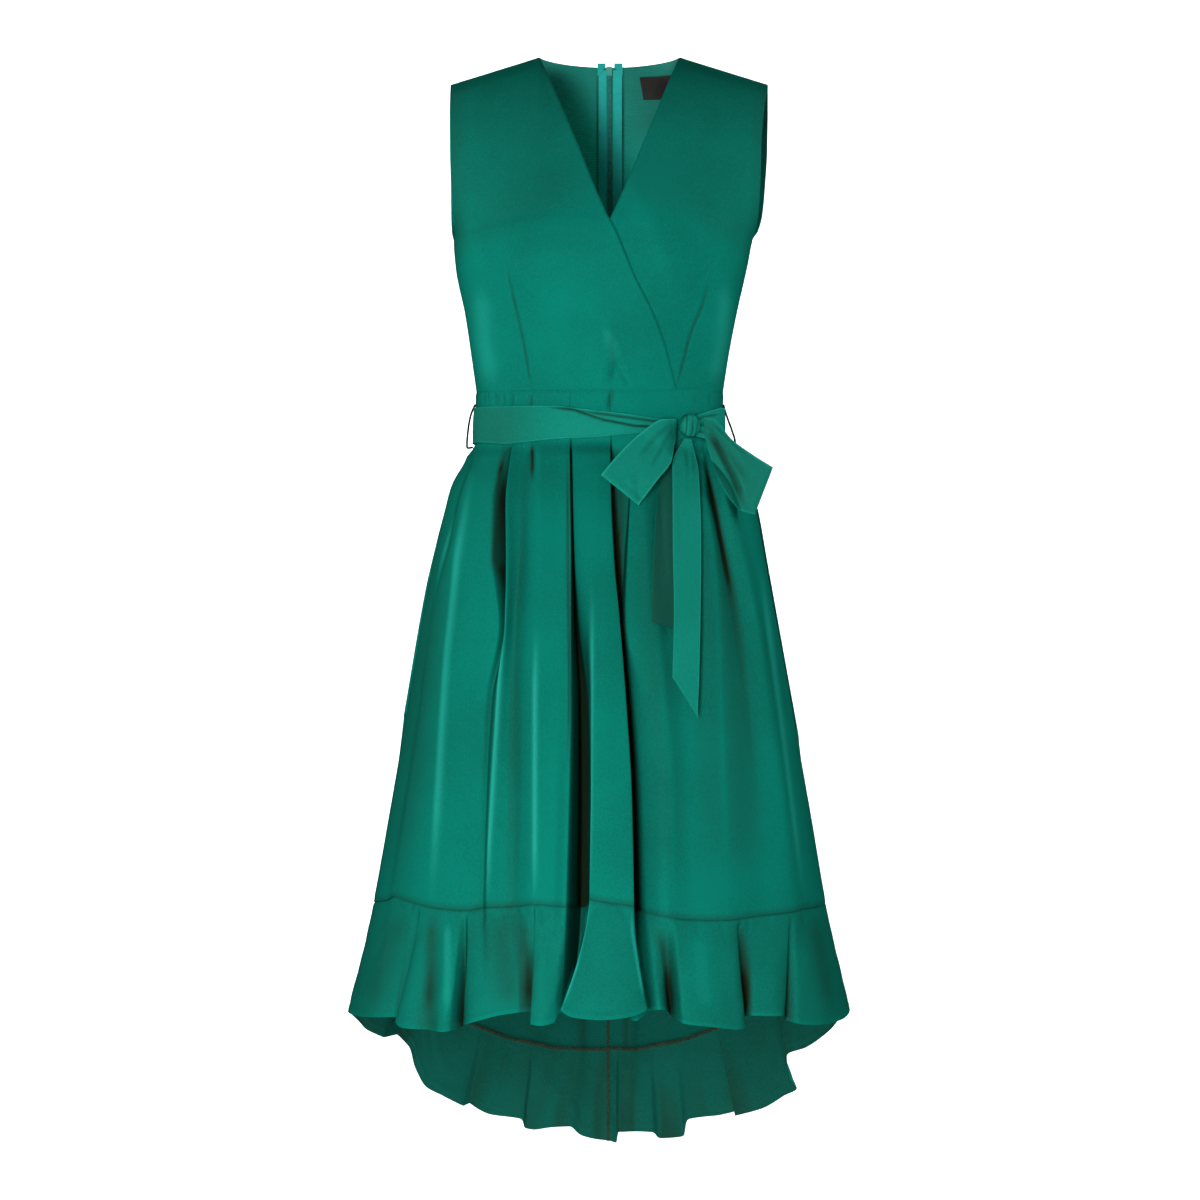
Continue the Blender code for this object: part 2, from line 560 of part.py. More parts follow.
def build_bodice_front(name, side):
    """One front. The under one steps in behind the over one wherever they cross."""
    rows = []
    for t in BODICE_ROWS:
        outer = bodice_size(BODICE_FRONT, t, "left" if side == "over" else "right")
        points = []
        for share in PANEL_SHARES if side == "over" else PANEL_SHARES[::-1]:
            point = front_point(outer + share * (front_edge(t, side) - outer), t)
            if side == "under":
                behind = (front_edge(t, "over") + LAP_REACH + LAP_EASE - point[0]) / LAP_EASE
                step = np.clip(behind, 0, 1)
                point[1] += LAP_STEP * step * step * (3 - 2 * step)
            points.append(point)
        rows.append(points)
    grid = np.array(rows)
    grid[0, :, 1] -= HALF_GAP
    grid[-1, :, 2] += HALF_GAP
    seam = 0 if side == "over" else -1
    grid[:, seam, 1] = np.minimum(grid[:, seam, 1], -HALF_GAP)
    return wall(name, grid, SATIN,
                flat={"top": NO_Y, "bottom": NO_Z, "first" if side == "over" else "last": NO_Y})


def build_bodice_back(name, side):
    rows = []
    for t in BODICE_ROWS:
        outer = bodice_size(BODICE_BACK, t, side)
        shares = PANEL_SHARES if side == "right" else PANEL_SHARES[::-1]
        middle = HALF_GAP if side == "right" else -HALF_GAP
        rows.append([back_point(outer + share * (middle - outer), t) for share in shares])
    grid = np.array(rows)
    seam = 0 if side == "right" else -1
    grid[0, :, 1] += HALF_GAP
    grid[-1, :, 2] += HALF_GAP
    grid[:, seam, 1] = np.maximum(grid[:, seam, 1], HALF_GAP)
    edges = ("first", "last") if side == "right" else ("last", "first")
    seamed = smooth((0, NECK_TURN_X, NECK_HALF_WIDTH, 1), (0, 0, 1, 1), np.abs(grid[0, :, 0]))
    neck = np.stack([np.ones_like(seamed), 1 - seamed, seamed], axis=-1)
    return wall(name, grid, SATIN, flat={"top": neck, "bottom": NO_Z, edges[0]: NO_Y, edges[1]: NO_X})


def split_at_middle(grid):
    """The back's grid parted along its centre seam into the +X side and the -X side."""
    cut = int(np.median(np.abs(grid[:, :, 0]).argmin(axis=1)))
    sides = grid[:, : cut + 1].copy(), grid[:, cut:].copy()
    for side, edge, shift in ((sides[0], -1, HALF_GAP), (sides[1], 0, -HALF_GAP)):
        side[:, edge, 0] = shift
    return sides


def build_skirt_and_flounce():
    """The skirt's front and two backs, then the flounce's, from the same folds."""
    for piece, downs, height in (("skirt", SKIRT_ROWS, skirt_z), ("flounce", FLOUNCE_ROWS, flounce_z)):
        front = fold_grid(downs, height, True, FRONT_OFFSETS, SIDE_STEPS)
        front[:, [0, -1], 1] = -HALF_GAP
        wall(f"{piece}_front", front, SATIN, level=True, flat={"first": NO_Y, "last": NO_Y})
        back = fold_grid(downs, height, False, BACK_OFFSETS, SIDE_STEPS)
        back[:, [0, -1], 1] = HALF_GAP
        right, left = split_at_middle(back)
        wall(f"{piece}_back_left", right, SATIN, level=True, flat={"first": NO_Y, "last": NO_X})
        wall(f"{piece}_back_right", left, SATIN, level=True, flat={"first": NO_X, "last": NO_Y})


def over_skirt(x, z, stand):
    """The point at this x and z that stands this far out from the smooth body's front."""
    body_x = x
    for _ in range(SETTLING_STEPS):
        angle = angle_of(body_x, z, True)
        out_x, out_y = outward(angle, z)
        body_x = x - out_x * stand
    return np.array([x, ring(angle, z)[1] + out_y * stand, z])


def sash_edges(angle):
    """The sash's lowest and highest z at this angle: it narrows towards the knot in front."""
    x = float(ring(angle, WAIST_Z)[0])
    if not lies_in_front(angle):
        return SASH_BOTTOM_Z, SASH_TOP_Z
    places = column(SASH_FRONT, SASH_COLUMNS, "x")
    return tuple(float(np.interp(x, places, column(SASH_FRONT, SASH_COLUMNS, k))) for k in ("bottom", "top"))


def build_sash():
    """The band from the knot's one side, round the back, to its other side."""
    start = float(angle_of(KNOT_X + KNOT_ROOM, SASH_TOP_Z, True))
    end = float(angle_of(KNOT_X - KNOT_ROOM, SASH_TOP_Z, True)) + 2 * math.pi
    angles = np.linspace(start, end, SASH_STEPS_ROUND + 1)
    rows = []
    for share in SASH_SHARES:
        points = []
        for angle in angles:
            turned = math.atan2(math.sin(angle), math.cos(angle))
            low, high = sash_edges(turned)
            z = high + share * (low - high)
            x, y = ring(turned, z)
            out_x, out_y = outward(turned, z)
            stand = GAP + WALL + SASH_SWELL * math.sin(math.pi * share)
            points.append((x + out_x * stand, y + out_y * stand, z))
        rows.append(points)
    wall("sash_band", rows, SATIN, level=True)


def knot_frame():
    """The knot's middle on the body, and the level directions across it and out of it."""
    angle = angle_of(KNOT_X, KNOT_Z, True)
    x, y = ring(angle, KNOT_Z)
    out_x, out_y = outward(angle, KNOT_Z)
    return np.array([x, y, KNOT_Z]), np.array([-out_y, out_x, 0]), np.array([out_x, out_y, 0])


def build_knot():
    """A rounded lump with two soft creases running down it."""
    middle, across, out = knot_frame()
    centre = middle + out * (GAP + WALL + KNOT_DEPTH / 2)
    corners = [centre + np.array([0, 0, KNOT_HALF_HEIGHT])]
    for i in range(1, KNOT_RINGS):
        tilt = math.pi * i / KNOT_RINGS
        wide, high = math.sin(tilt) ** KNOT_SQUARE, math.cos(tilt)
        for j in range(KNOT_SIDES):
            turn = 2 * math.pi * j / KNOT_SIDES
            crease = 1 - KNOT_CREASE * math.cos(3 * turn) ** 2
            side = math.copysign(abs(math.cos(turn)) ** KNOT_SQUARE, math.cos(turn))
            deep = math.copysign(abs(math.sin(turn)) ** KNOT_SQUARE, math.sin(turn))
            corners.append(centre + across * KNOT_HALF_WIDTH * wide * side * crease
                           - out * KNOT_DEPTH / 2 * wide * deep * crease
                           + np.array([0, 0, KNOT_HALF_HEIGHT * high]))
    corners.append(centre - np.array([0, 0, KNOT_HALF_HEIGHT]))
    faces = []
    for j in range(KNOT_SIDES):
        k = (j + 1) % KNOT_SIDES
        faces.append([0, 1 + j, 1 + k])
        for i in range(KNOT_RINGS - 2):
            a, b = 1 + i * KNOT_SIDES, 1 + (i + 1) * KNOT_SIDES
            faces.append([a + j, b + j, b + k, a + k])
        last = 1 + (KNOT_RINGS - 2) * KNOT_SIDES
        faces.append([last + k, last + j, len(corners) - 1])
    solid("bow_knot", corners, faces, SATIN)


def edge_at(edge, share):
    """(x, z) on a line through an edge's points, by share of its length."""
    edge = np.array(edge, float) * MILLIMETRE
    length = np.concatenate([[0], np.cumsum(np.hypot(*np.diff(edge, axis=0).T))])
    where = length / length[-1]
    return smooth(where, edge[:, 0], share), smooth(where, edge[:, 1], share)


def build_loop(name, upper, lower, way, tip_y):
    """A bow loop: a ply that runs out from the knot, turns at the tip and comes back behind."""
    path = [(share, -1.0) for share in LOOP_SHARES] + [(LOOP_TURN, 0.0)]
    path += [(share, 1.0) for share in LOOP_SHARES[::-1]]
    rows = []
    for down in LOOP_ROWS:
        points = []
        for share, side in path:
            high, low = (np.array(edge_at(edge, min(share, 1.0))) for edge in (upper, lower))
            x, z = high + down * (low - high)
            x += way * max(share - 1, 0)
            puff = LOOP_ROOT + (LOOP_PUFF - LOOP_ROOT) * math.sin(math.pi * min(share, LOOP_FULL) ** 0.8)
            body_y = float(ring(angle_of(x, z, True), z)[1])
            clear = body_y - LOOP_CLEAR * min(share / LOOP_SHARES[2], 1.0) - puff / 2
            y = min(KNOT_Y + (tip_y - KNOT_Y) * min(share, 1.0), clear)
            points.append((x, y + side * puff / 2, z))
        rows.append(points if way > 0 else points[::-1])
    wall(name, rows, SATIN)


def build_tail(name, left, right, stand):
    """A free end of the sash, which hangs down the skirt."""
    rows = []
    for down in TAIL_ROWS:
        (x0, z0), (x1, z1) = edge_at(left, down), edge_at(right, down)
        points = []
        for across in TAIL_SHARES:
            x, z = x0 + across * (x1 - x0), z0 + across * (z1 - z0)
            swell = smooth(STATIONS, FRONT_BULGE, z) + stand + TAIL_CURL * math.sin(math.pi * across)
            points.append(over_skirt(x, z, swell))
        rows.append(points)
    wall(name, rows, SATIN)


def build_belt_loop(name, side):
    """A thread loop from the seam above the sash, out over it and back in below."""
    way = -1 if side == "left" else 1
    curve = bpy.data.curves.new(name, "CURVE")
    curve.dimensions = "3D"
    curve.bevel_depth = THREAD_RADIUS
    curve.bevel_resolution = 1
    curve.use_fill_caps = True
    line = curve.splines.new("POLY")
    places = []
    for k in range(THREAD_POINTS):
        share = k / (THREAD_POINTS - 1)
        out = THREAD_START + (LOOP_REACH - THREAD_START) * math.sin(math.pi * share**0.8) ** 0.8
        z = THREAD_TOP_Z + share * (THREAD_BOTTOM_Z - THREAD_TOP_Z)
        places.append((abs(float(section_at(z - THREAD_RADIUS, side))) + out, z))
    line.points.add(THREAD_POINTS - 1)
    for point, (x, z) in zip(line.points, places):
        point.co = (way * x, 0, z, 1)
    curve.materials.append(material(*THREAD))
    bpy.context.scene.collection.objects.link(bpy.data.objects.new(name, curve))


def centre_back_y(x, z):
    """The outside of the back near its centre seam, from the neck down past the waist."""
    if z > WAIST_Z:
        top = -BACK_NECK_DROP
        return float(back_point(x, (z - top) / (WAIST_Z - top))[1])
    angle = angle_of(x, z, False)
    return float(cloth_points(angle, np.asarray(z), False)[1])


def build_zip_strip(name, sides, thickness, finish):
    """A tape or the coil, just inside the back. Its columns run from +X to -X, like the back's."""
    heights = [ZIP_TOP_Z]
    heights += [-BACK_NECK_DROP * (1 - t) + WAIST_Z * t for t in BODICE_ROWS[1:-1]]
    heights += [float(skirt_z(down, math.pi / 2)) for down in SKIRT_ROWS]
    rows = []
    for z in heights:
        if ZIP_BOTTOM_Z <= z <= ZIP_TOP_Z:
            stand = ZIP_STAND if z > WAIST_Z else ZIP_SKIRT_STAND
            rows.append([(x, centre_back_y(x, z) - stand, z) for x in np.linspace(sides[1], sides[0], 3)])
    wall(name, rows, finish, thickness=thickness)


def box_corners(low, high):
    (x0, y0, z0), (x1, y1, z1) = low, high
    return [(x, y, z) for z in (z0, z1) for y in (y0, y1) for x in (x0, x1)]


BOX_FACES = ([0, 2, 3, 1], [4, 5, 7, 6], [0, 1, 5, 4], [2, 6, 7, 3], [0, 4, 6, 2], [1, 3, 7, 5])


def joined(name, boxes, finish):
    """One body made of boxes that overlap."""
    made = None
    for k, (low, high) in enumerate(boxes):
        piece = solid(name if k == 0 else f"{name}_cutter{k}", box_corners(low, high), BOX_FACES, finish)
        if made is None:
            made = piece
            continue
        piece.hide_render = True
        piece.display_type = "WIRE"
        union = made.modifiers.new(f"union{k}", "BOOLEAN")
        union.operation = "UNION"
        union.object = piece
    return made


def build_slider():
    """The slider inside the neck, its arch over the neck's edge, and the eye that it ends in outside."""
    half, ear, bar = SLIDER_WIDTH / 2, EAR_WIDTH / 2, EAR_THICK
    back = BACK_NECK_DEPTH - WALL - SLIDER_ROOM
    arch_low = -BACK_NECK_DROP + GAP
    eye = EYE_ROOM + bar
    joined("zip_slider", (
        ((-half, back - SLIDER_THICK, SLIDER_BOTTOM_Z), (half, back, arch_low + bar / 2)),
        ((-ear, back - bar, arch_low), (ear, EYE_Y, arch_low + bar)),
        ((-ear, EYE_Y - eye, EYE_Z - eye), (ear, EYE_Y - EYE_ROOM, arch_low + bar * 0.9)),
        ((-ear, EYE_Y - eye, EYE_Z + EYE_ROOM), (ear, EYE_Y + eye, arch_low + bar)),
        ((-ear, EYE_Y + EYE_ROOM, EYE_Z - eye), (ear, EYE_Y + eye, arch_low + bar * 0.9)),
        ((-ear, EYE_Y - eye, EYE_Z - eye), (ear, EYE_Y + eye, EYE_Z - EYE_ROOM)),
    ), METAL)


def build_pull():
    """The tab, whose top bar turns in the eye. Its origin is on that bar's axis."""
    side, bar = PULL_WIDTH / 2, PULL_THICK / 2
    rail = side - PULL_RAIL
    made = joined("zip_pull", (
        ((-side, -bar, -bar), (side, bar, bar)),
        ((-side, -bar, -PULL_WINDOW - bar), (-rail, bar, 0)),
        ((rail, -bar, -PULL_WINDOW - bar), (side, bar, 0)),
        ((-side, -bar, -PULL_LENGTH), (side, bar, -PULL_WINDOW)),
    ), METAL)
    for piece in [made] + [union.object for union in made.modifiers]:
        piece.location = (0, EYE_Y, EYE_Z)


def build_zip():
    build_zip_strip("zip_tape_right", TAPE_LEFT_X, TRIM_WALL, TAPE)
    build_zip_strip("zip_tape_left", TAPE_RIGHT_X, TRIM_WALL, TAPE)
    build_zip_strip("zip_coil", COIL_X, COIL_THICK, NYLON)
    build_slider()
    build_pull()


def build_label():
    """A bare label inside the back of the neck, beside the zip."""
    rows = []
    for z in np.linspace(LABEL_TOP_Z, LABEL_BOTTOM_Z, 4):
        rows.append([(x, centre_back_y(x, z) - LABEL_STAND, z) for x in np.linspace(*LABEL_X, 6)])
    wall("neck_label", rows, LABEL, thickness=TRIM_WALL)


def main():
    clear_scene()
    build_bodice_front("bodice_front_right", "over")
    build_bodice_front("bodice_front_left", "under")
    build_bodice_back("bodice_back_left", "right")
    build_bodice_back("bodice_back_right", "left")
    build_skirt_and_flounce()
    build_sash()
    build_knot()
    build_loop("bow_loop_right", LEFT_LOOP_UPPER, LEFT_LOOP_LOWER, -1, LEFT_LOOP_TIP_Y)
    build_loop("bow_loop_left", RIGHT_LOOP_UPPER, RIGHT_LOOP_LOWER, 1, RIGHT_LOOP_TIP_Y)
    build_tail("tail_front", FRONT_TAIL_LEFT, FRONT_TAIL_RIGHT, FRONT_TAIL_STAND)
    build_tail("tail_back", BACK_TAIL_LEFT, BACK_TAIL_RIGHT, BACK_TAIL_STAND)
    build_belt_loop("belt_loop_right", "left")
    build_belt_loop("belt_loop_left", "right")
    build_zip()
    build_label()


main()
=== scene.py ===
"""Looks of a sleeveless wrap dress in green satin, hollow as it is worn, with a tied sash and a flounce.

Every piece of cloth is a fine sheet laid on the form of the solid that it stands for, with its
folds, seams and hems. Metres, +Z up. The front looks along -Y. Right and left are the wearer's.
"""

import json
import logging
import math
from dataclasses import dataclass, field
from enum import Enum

import bpy
import numpy as np
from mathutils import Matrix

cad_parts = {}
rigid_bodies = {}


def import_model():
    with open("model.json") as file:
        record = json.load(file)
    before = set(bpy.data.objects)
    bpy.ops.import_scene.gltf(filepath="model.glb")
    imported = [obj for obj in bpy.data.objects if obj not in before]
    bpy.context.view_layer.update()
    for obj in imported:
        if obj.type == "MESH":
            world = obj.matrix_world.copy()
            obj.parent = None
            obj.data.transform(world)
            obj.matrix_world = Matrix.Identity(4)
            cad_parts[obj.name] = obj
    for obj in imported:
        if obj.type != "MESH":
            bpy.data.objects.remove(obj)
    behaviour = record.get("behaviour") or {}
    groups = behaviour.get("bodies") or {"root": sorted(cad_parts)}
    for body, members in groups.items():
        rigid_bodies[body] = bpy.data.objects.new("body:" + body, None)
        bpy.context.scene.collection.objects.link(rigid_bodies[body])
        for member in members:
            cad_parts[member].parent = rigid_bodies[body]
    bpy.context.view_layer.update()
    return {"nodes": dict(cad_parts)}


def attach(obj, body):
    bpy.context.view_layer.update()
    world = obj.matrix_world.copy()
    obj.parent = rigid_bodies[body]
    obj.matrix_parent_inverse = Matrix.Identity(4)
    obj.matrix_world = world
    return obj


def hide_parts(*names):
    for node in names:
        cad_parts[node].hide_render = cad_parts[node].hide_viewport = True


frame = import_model()

LOG = logging.getLogger("wrap_dress")
MM = 0.001
GAP = 0.0003
PLY = 0.0007
BODY = "dress"
ROUNDNESS = 2.3

Array = np.ndarray
Tree = bpy.types.NodeTree
Node = bpy.types.Node
Socket = bpy.types.NodeSocket
Piece = bpy.types.Object
Value = Socket | float | None


class Side(Enum):
    """Which half of the dress a wall belongs to."""

    FRONT = "front"
    BACK = "back"


class Slot(Enum):
    """The record's material slots."""

    SATIN = "satin"
    THREAD = "thread"
    TAPE = "zip_tape"
    COIL = "zip_coil"
    LABEL = "label"


# ---------------------------------------------------------------- node groups


def new_group(name: str, inputs: list[tuple[str, str, object]], outputs: list[tuple[str, str]]) -> tuple:
    """An empty shader node group with named sockets.

    Args:
        name: The group's name.
        inputs: Name, socket type and default of each input.
        outputs: Name and socket type of each output.

    Returns:
        The node tree with its group input and group output nodes.
    """
    tree = bpy.data.node_groups.new(name, "ShaderNodeTree")
    for label, kind, value in inputs:
        socket = tree.interface.new_socket(name=label, in_out="INPUT", socket_type=kind)
        if value is not None:
            socket.default_value = value
    for label, kind in outputs:
        tree.interface.new_socket(name=label, in_out="OUTPUT", socket_type=kind)
    return tree, tree.nodes.new("NodeGroupInput"), tree.nodes.new("NodeGroupOutput")


def calculate(tree: Tree, operation: str, first: Value, second: Value = None,
              third: Value = None) -> Socket:
    """A Math node on sockets or numbers, and its result socket.

    Args:
        tree: The node tree to add to.
        operation: The operation's name.
        first: A socket or a number.
        second: A socket or a number.
        third: A socket or a number.

    Returns:
        The result's socket.
    """
    node = tree.nodes.new("ShaderNodeMath")
    node.operation = operation
    for socket, value in zip(node.inputs, (first, second, third)):
        if isinstance(value, (int, float)):
            socket.default_value = value
        elif value is not None:
            tree.links.new(value, socket)
    return node.outputs[0]


def noise(tree: Tree, vector: Socket, scale: Value, detail: float = 3.0,
          roughness: float = 0.55) -> Socket:
    """A Noise Texture on a vector, and its factor socket.

    Args:
        tree: The node tree to add to.
        vector: The coordinates.
        scale: Its scale.
        detail: Its detail.
        roughness: Its roughness.

    Returns:
        The factor's socket.
    """
    node = tree.nodes.new("ShaderNodeTexNoise")
    tree.links.new(vector, node.inputs["Vector"])
    if isinstance(scale, (int, float)):
        node.inputs["Scale"].default_value = scale
    else:
        tree.links.new(scale, node.inputs["Scale"])
    node.inputs["Detail"].default_value = detail
    node.inputs["Roughness"].default_value = roughness
    return node.outputs["Fac"]


def stretched(tree: Tree, vector: Socket, scale: tuple[float, float, float]) -> Socket:
    """The vector stretched by a Mapping node.

    Args:
        tree: The node tree to add to.
        vector: The coordinates.
        scale: Its scale.

    Returns:
        The result's socket.
    """
    node = tree.nodes.new("ShaderNodeMapping")
    node.inputs["Scale"].default_value = scale
    tree.links.new(vector, node.inputs["Vector"])
    return node.outputs["Vector"]


TWILL_STEP = 0.4
WEFT_PITCH = 1.7
WEFT_HEIGHT = 0.35
THREAD_HEIGHT = 0.22
SLUB_SCALE = 900.0
CRUSH_SCALE = 34.0
GRAIN_SCALE = 430.0
TINT_GRAIN_SCALE = 520.0
TINT_RANGE = (0.85, 1.15)


def build_satin_weave() -> Tree:
    """Threads of a satin: floats with a diagonal step, slubs along them, and a soft crush of the cloth.

    Returns:
        The group's tree.
    """
    tree, given, out = new_group(
        "satin_weave",
        [("UV", "NodeSocketVector", None), ("Threads", "NodeSocketFloat", 1400.0),
         ("Slub", "NodeSocketFloat", 0.5), ("Crush", "NodeSocketFloat", 0.5),
         ("Grain", "NodeSocketFloat", 1.0)],
        [("Height", "NodeSocketFloat"), ("Sheen Mask", "NodeSocketFloat")])
    split = tree.nodes.new("ShaderNodeSeparateXYZ")
    tree.links.new(given.outputs["UV"], split.inputs[0])
    across = calculate(tree, "MULTIPLY", split.outputs[0], given.outputs["Threads"])
    down = calculate(tree, "MULTIPLY", split.outputs[1], given.outputs["Threads"])
    twill = calculate(tree, "SINE", calculate(tree, "MULTIPLY_ADD", down, TWILL_STEP, across))
    weft = calculate(tree, "SINE", calculate(tree, "MULTIPLY", down, WEFT_PITCH))
    threads = calculate(tree, "MULTIPLY_ADD", weft, WEFT_HEIGHT, twill)
    slubs = noise(tree, stretched(tree, given.outputs["UV"], (1.0, 0.045, 1.0)), SLUB_SCALE, 2.0)
    crush = noise(tree, given.outputs["UV"], CRUSH_SCALE, 4.0, 0.6)
    grain = noise(tree, stretched(tree, given.outputs["UV"], (1.0, 0.7, 1.0)), GRAIN_SCALE, 3.0, 0.7)
    height = calculate(tree, "MULTIPLY", threads, THREAD_HEIGHT)
    height = calculate(tree, "MULTIPLY_ADD", slubs, given.outputs["Slub"], height)
    height = calculate(tree, "MULTIPLY_ADD", crush, given.outputs["Crush"], height)
    height = calculate(tree, "MULTIPLY_ADD", grain, given.outputs["Grain"], height)
    tree.links.new(height, out.inputs["Height"])
    tree.links.new(slubs, out.inputs["Sheen Mask"])
    return tree


def build_ribs() -> Tree:
    """Fine crosswise ribs, as the matt back of a satin shows them.

    Returns:
        The group's tree.
    """
    tree, given, out = new_group(
        "crosswise_ribs",
        [("UV", "NodeSocketVector", None), ("Pitch", "NodeSocketFloat", 0.003),
         ("Wander", "NodeSocketFloat", 0.0012)],
        [("Height", "NodeSocketFloat"), ("Mask", "NodeSocketFloat")])
    split = tree.nodes.new("ShaderNodeSeparateXYZ")
    tree.links.new(given.outputs["UV"], split.inputs[0])
    wander = noise(tree, stretched(tree, given.outputs["UV"], (1.0, 2.0, 1.0)), 45.0, 3.0)
    down = calculate(tree, "MULTIPLY_ADD", wander, given.outputs["Wander"], split.outputs[1])
    turns = calculate(tree, "MULTIPLY", calculate(tree, "DIVIDE", down, given.outputs["Pitch"]), 2 * math.pi)
    wave = calculate(tree, "MULTIPLY_ADD", calculate(tree, "SINE", turns), 0.5, 0.5)
    tree.links.new(wave, out.inputs["Height"])
    patches = noise(tree, given.outputs["UV"], 60.0, 3.0)
    tree.links.new(calculate(tree, "MULTIPLY", wave, patches), out.inputs["Mask"])
    return tree


def build_tint() -> Tree:
    """Two colours mixed over a piece by patches and grain in Object coordinates, then the Deep colour mixed
    in by Depth: painted shade on the satin, darker ribs on tape and label.

    Returns:
        The group's tree.
    """
    tree, given, out = new_group(
        "cloth_tint",
        [("Vector", "NodeSocketVector", None), ("Scale", "NodeSocketFloat", 9.0),
         ("Base", "NodeSocketColor", (0.0, 0.2, 0.15, 1.0)),
         ("Other", "NodeSocketColor", (0.0, 0.1, 0.1, 1.0)),
         ("Deep", "NodeSocketColor", (0.02, 0.03, 0.01, 1.0)), ("Depth", "NodeSocketFloat", 0.0)],
        [("Color", "NodeSocketColor")])
    patches = noise(tree, given.outputs["Vector"], given.outputs["Scale"], 3.0, 0.5)
    ramp = tree.nodes.new("ShaderNodeMapRange")
    ramp.inputs["From Min"].default_value = TINT_RANGE[0]
    ramp.inputs["From Max"].default_value = TINT_RANGE[1]
    grain = noise(tree, given.outputs["Vector"], TINT_GRAIN_SCALE, 2.0, 0.7)
    tree.links.new(calculate(tree, "ADD", patches, grain), ramp.inputs["Value"])
    first = tree.nodes.new("ShaderNodeMix")
    first.data_type = "RGBA"
    tree.links.new(ramp.outputs[0], first.inputs["Factor"])
    tree.links.new(given.outputs["Base"], first.inputs[6])
    tree.links.new(given.outputs["Other"], first.inputs[7])
    # The Deep colour by Depth: painted shade where Depth carries the satin's painted shading, darker ribs
    # where it carries a rib mask.
    second = tree.nodes.new("ShaderNodeMix")
    second.data_type = "RGBA"
    tree.links.new(given.outputs["Depth"], second.inputs["Factor"])
    tree.links.new(first.outputs[2], second.inputs[6])
    tree.links.new(given.outputs["Deep"], second.inputs[7])
    tree.links.new(second.outputs[2], out.inputs["Color"])
    return tree


# ---------------------------------------------------------------- finishes


def start_material(name: str) -> tuple:
    """A material with its tree, its Principled BSDF, and its coordinate node.

    Args:
        name: The name.

    Returns:
        The material, its tree, its shader and its coordinates.
    """
    made = bpy.data.materials.new(name)
    made.use_nodes = True
    tree = made.node_tree
    return made, tree, tree.nodes["Principled BSDF"], tree.nodes.new("ShaderNodeTexCoord")


def place_group(tree: Tree, group: Tree, **values: object) -> Node:
    """A group node with its own values. A value is a number, a colour or a socket to link.

    Args:
        tree: The node tree to add to.
        group: The node group.
        values: The value of each input.

    Returns:
        The group's node.
    """
    node = tree.nodes.new("ShaderNodeGroup")
    node.node_tree = group
    for label, value in values.items():
        socket = node.inputs[label.replace("_", " ")]
        if isinstance(value, bpy.types.NodeSocket):
            tree.links.new(value, socket)
        else:
            socket.default_value = value
    return node


def add_bump(tree: Tree, shader: Node, height: Socket, distance: float, strength: float) -> None:
    """A Bump node from a height to the shader's normal.

    Args:
        tree: The node tree to add to.
        shader: The Principled BSDF.
        height: The height's socket.
        distance: The height's reach in metres.
        strength: From 0 to 1.
    """
    bump = tree.nodes.new("ShaderNodeBump")
    bump.inputs["Strength"].default_value = strength
    bump.inputs["Distance"].default_value = distance
    tree.links.new(height, bump.inputs["Height"])
    tree.links.new(bump.outputs[0], shader.inputs["Normal"])


def mix_colour(tree: Tree, factor: Socket, first: Socket, second: tuple) -> Socket:
    """A Mix node from one colour's socket to a set colour, by a factor held between 0 and 1.

    Args:
        tree: The node tree to add to.
        factor: How much of the second colour.
        first: The first colour.
        second: The second colour.

    Returns:
        The mixed colour.
    """
    node = tree.nodes.new("ShaderNodeMix")
    node.data_type = "RGBA"
    node.inputs[7].default_value = second
    tree.links.new(factor, node.inputs[0])
    tree.links.new(first, node.inputs[6])
    return node.outputs[2]


def read_attribute(tree: Tree, name: str) -> Socket:
    """The factor of a float attribute that a piece's mesh carries."""
    node = tree.nodes.new("ShaderNodeAttribute")
    node.attribute_name = name
    return node.outputs["Fac"]


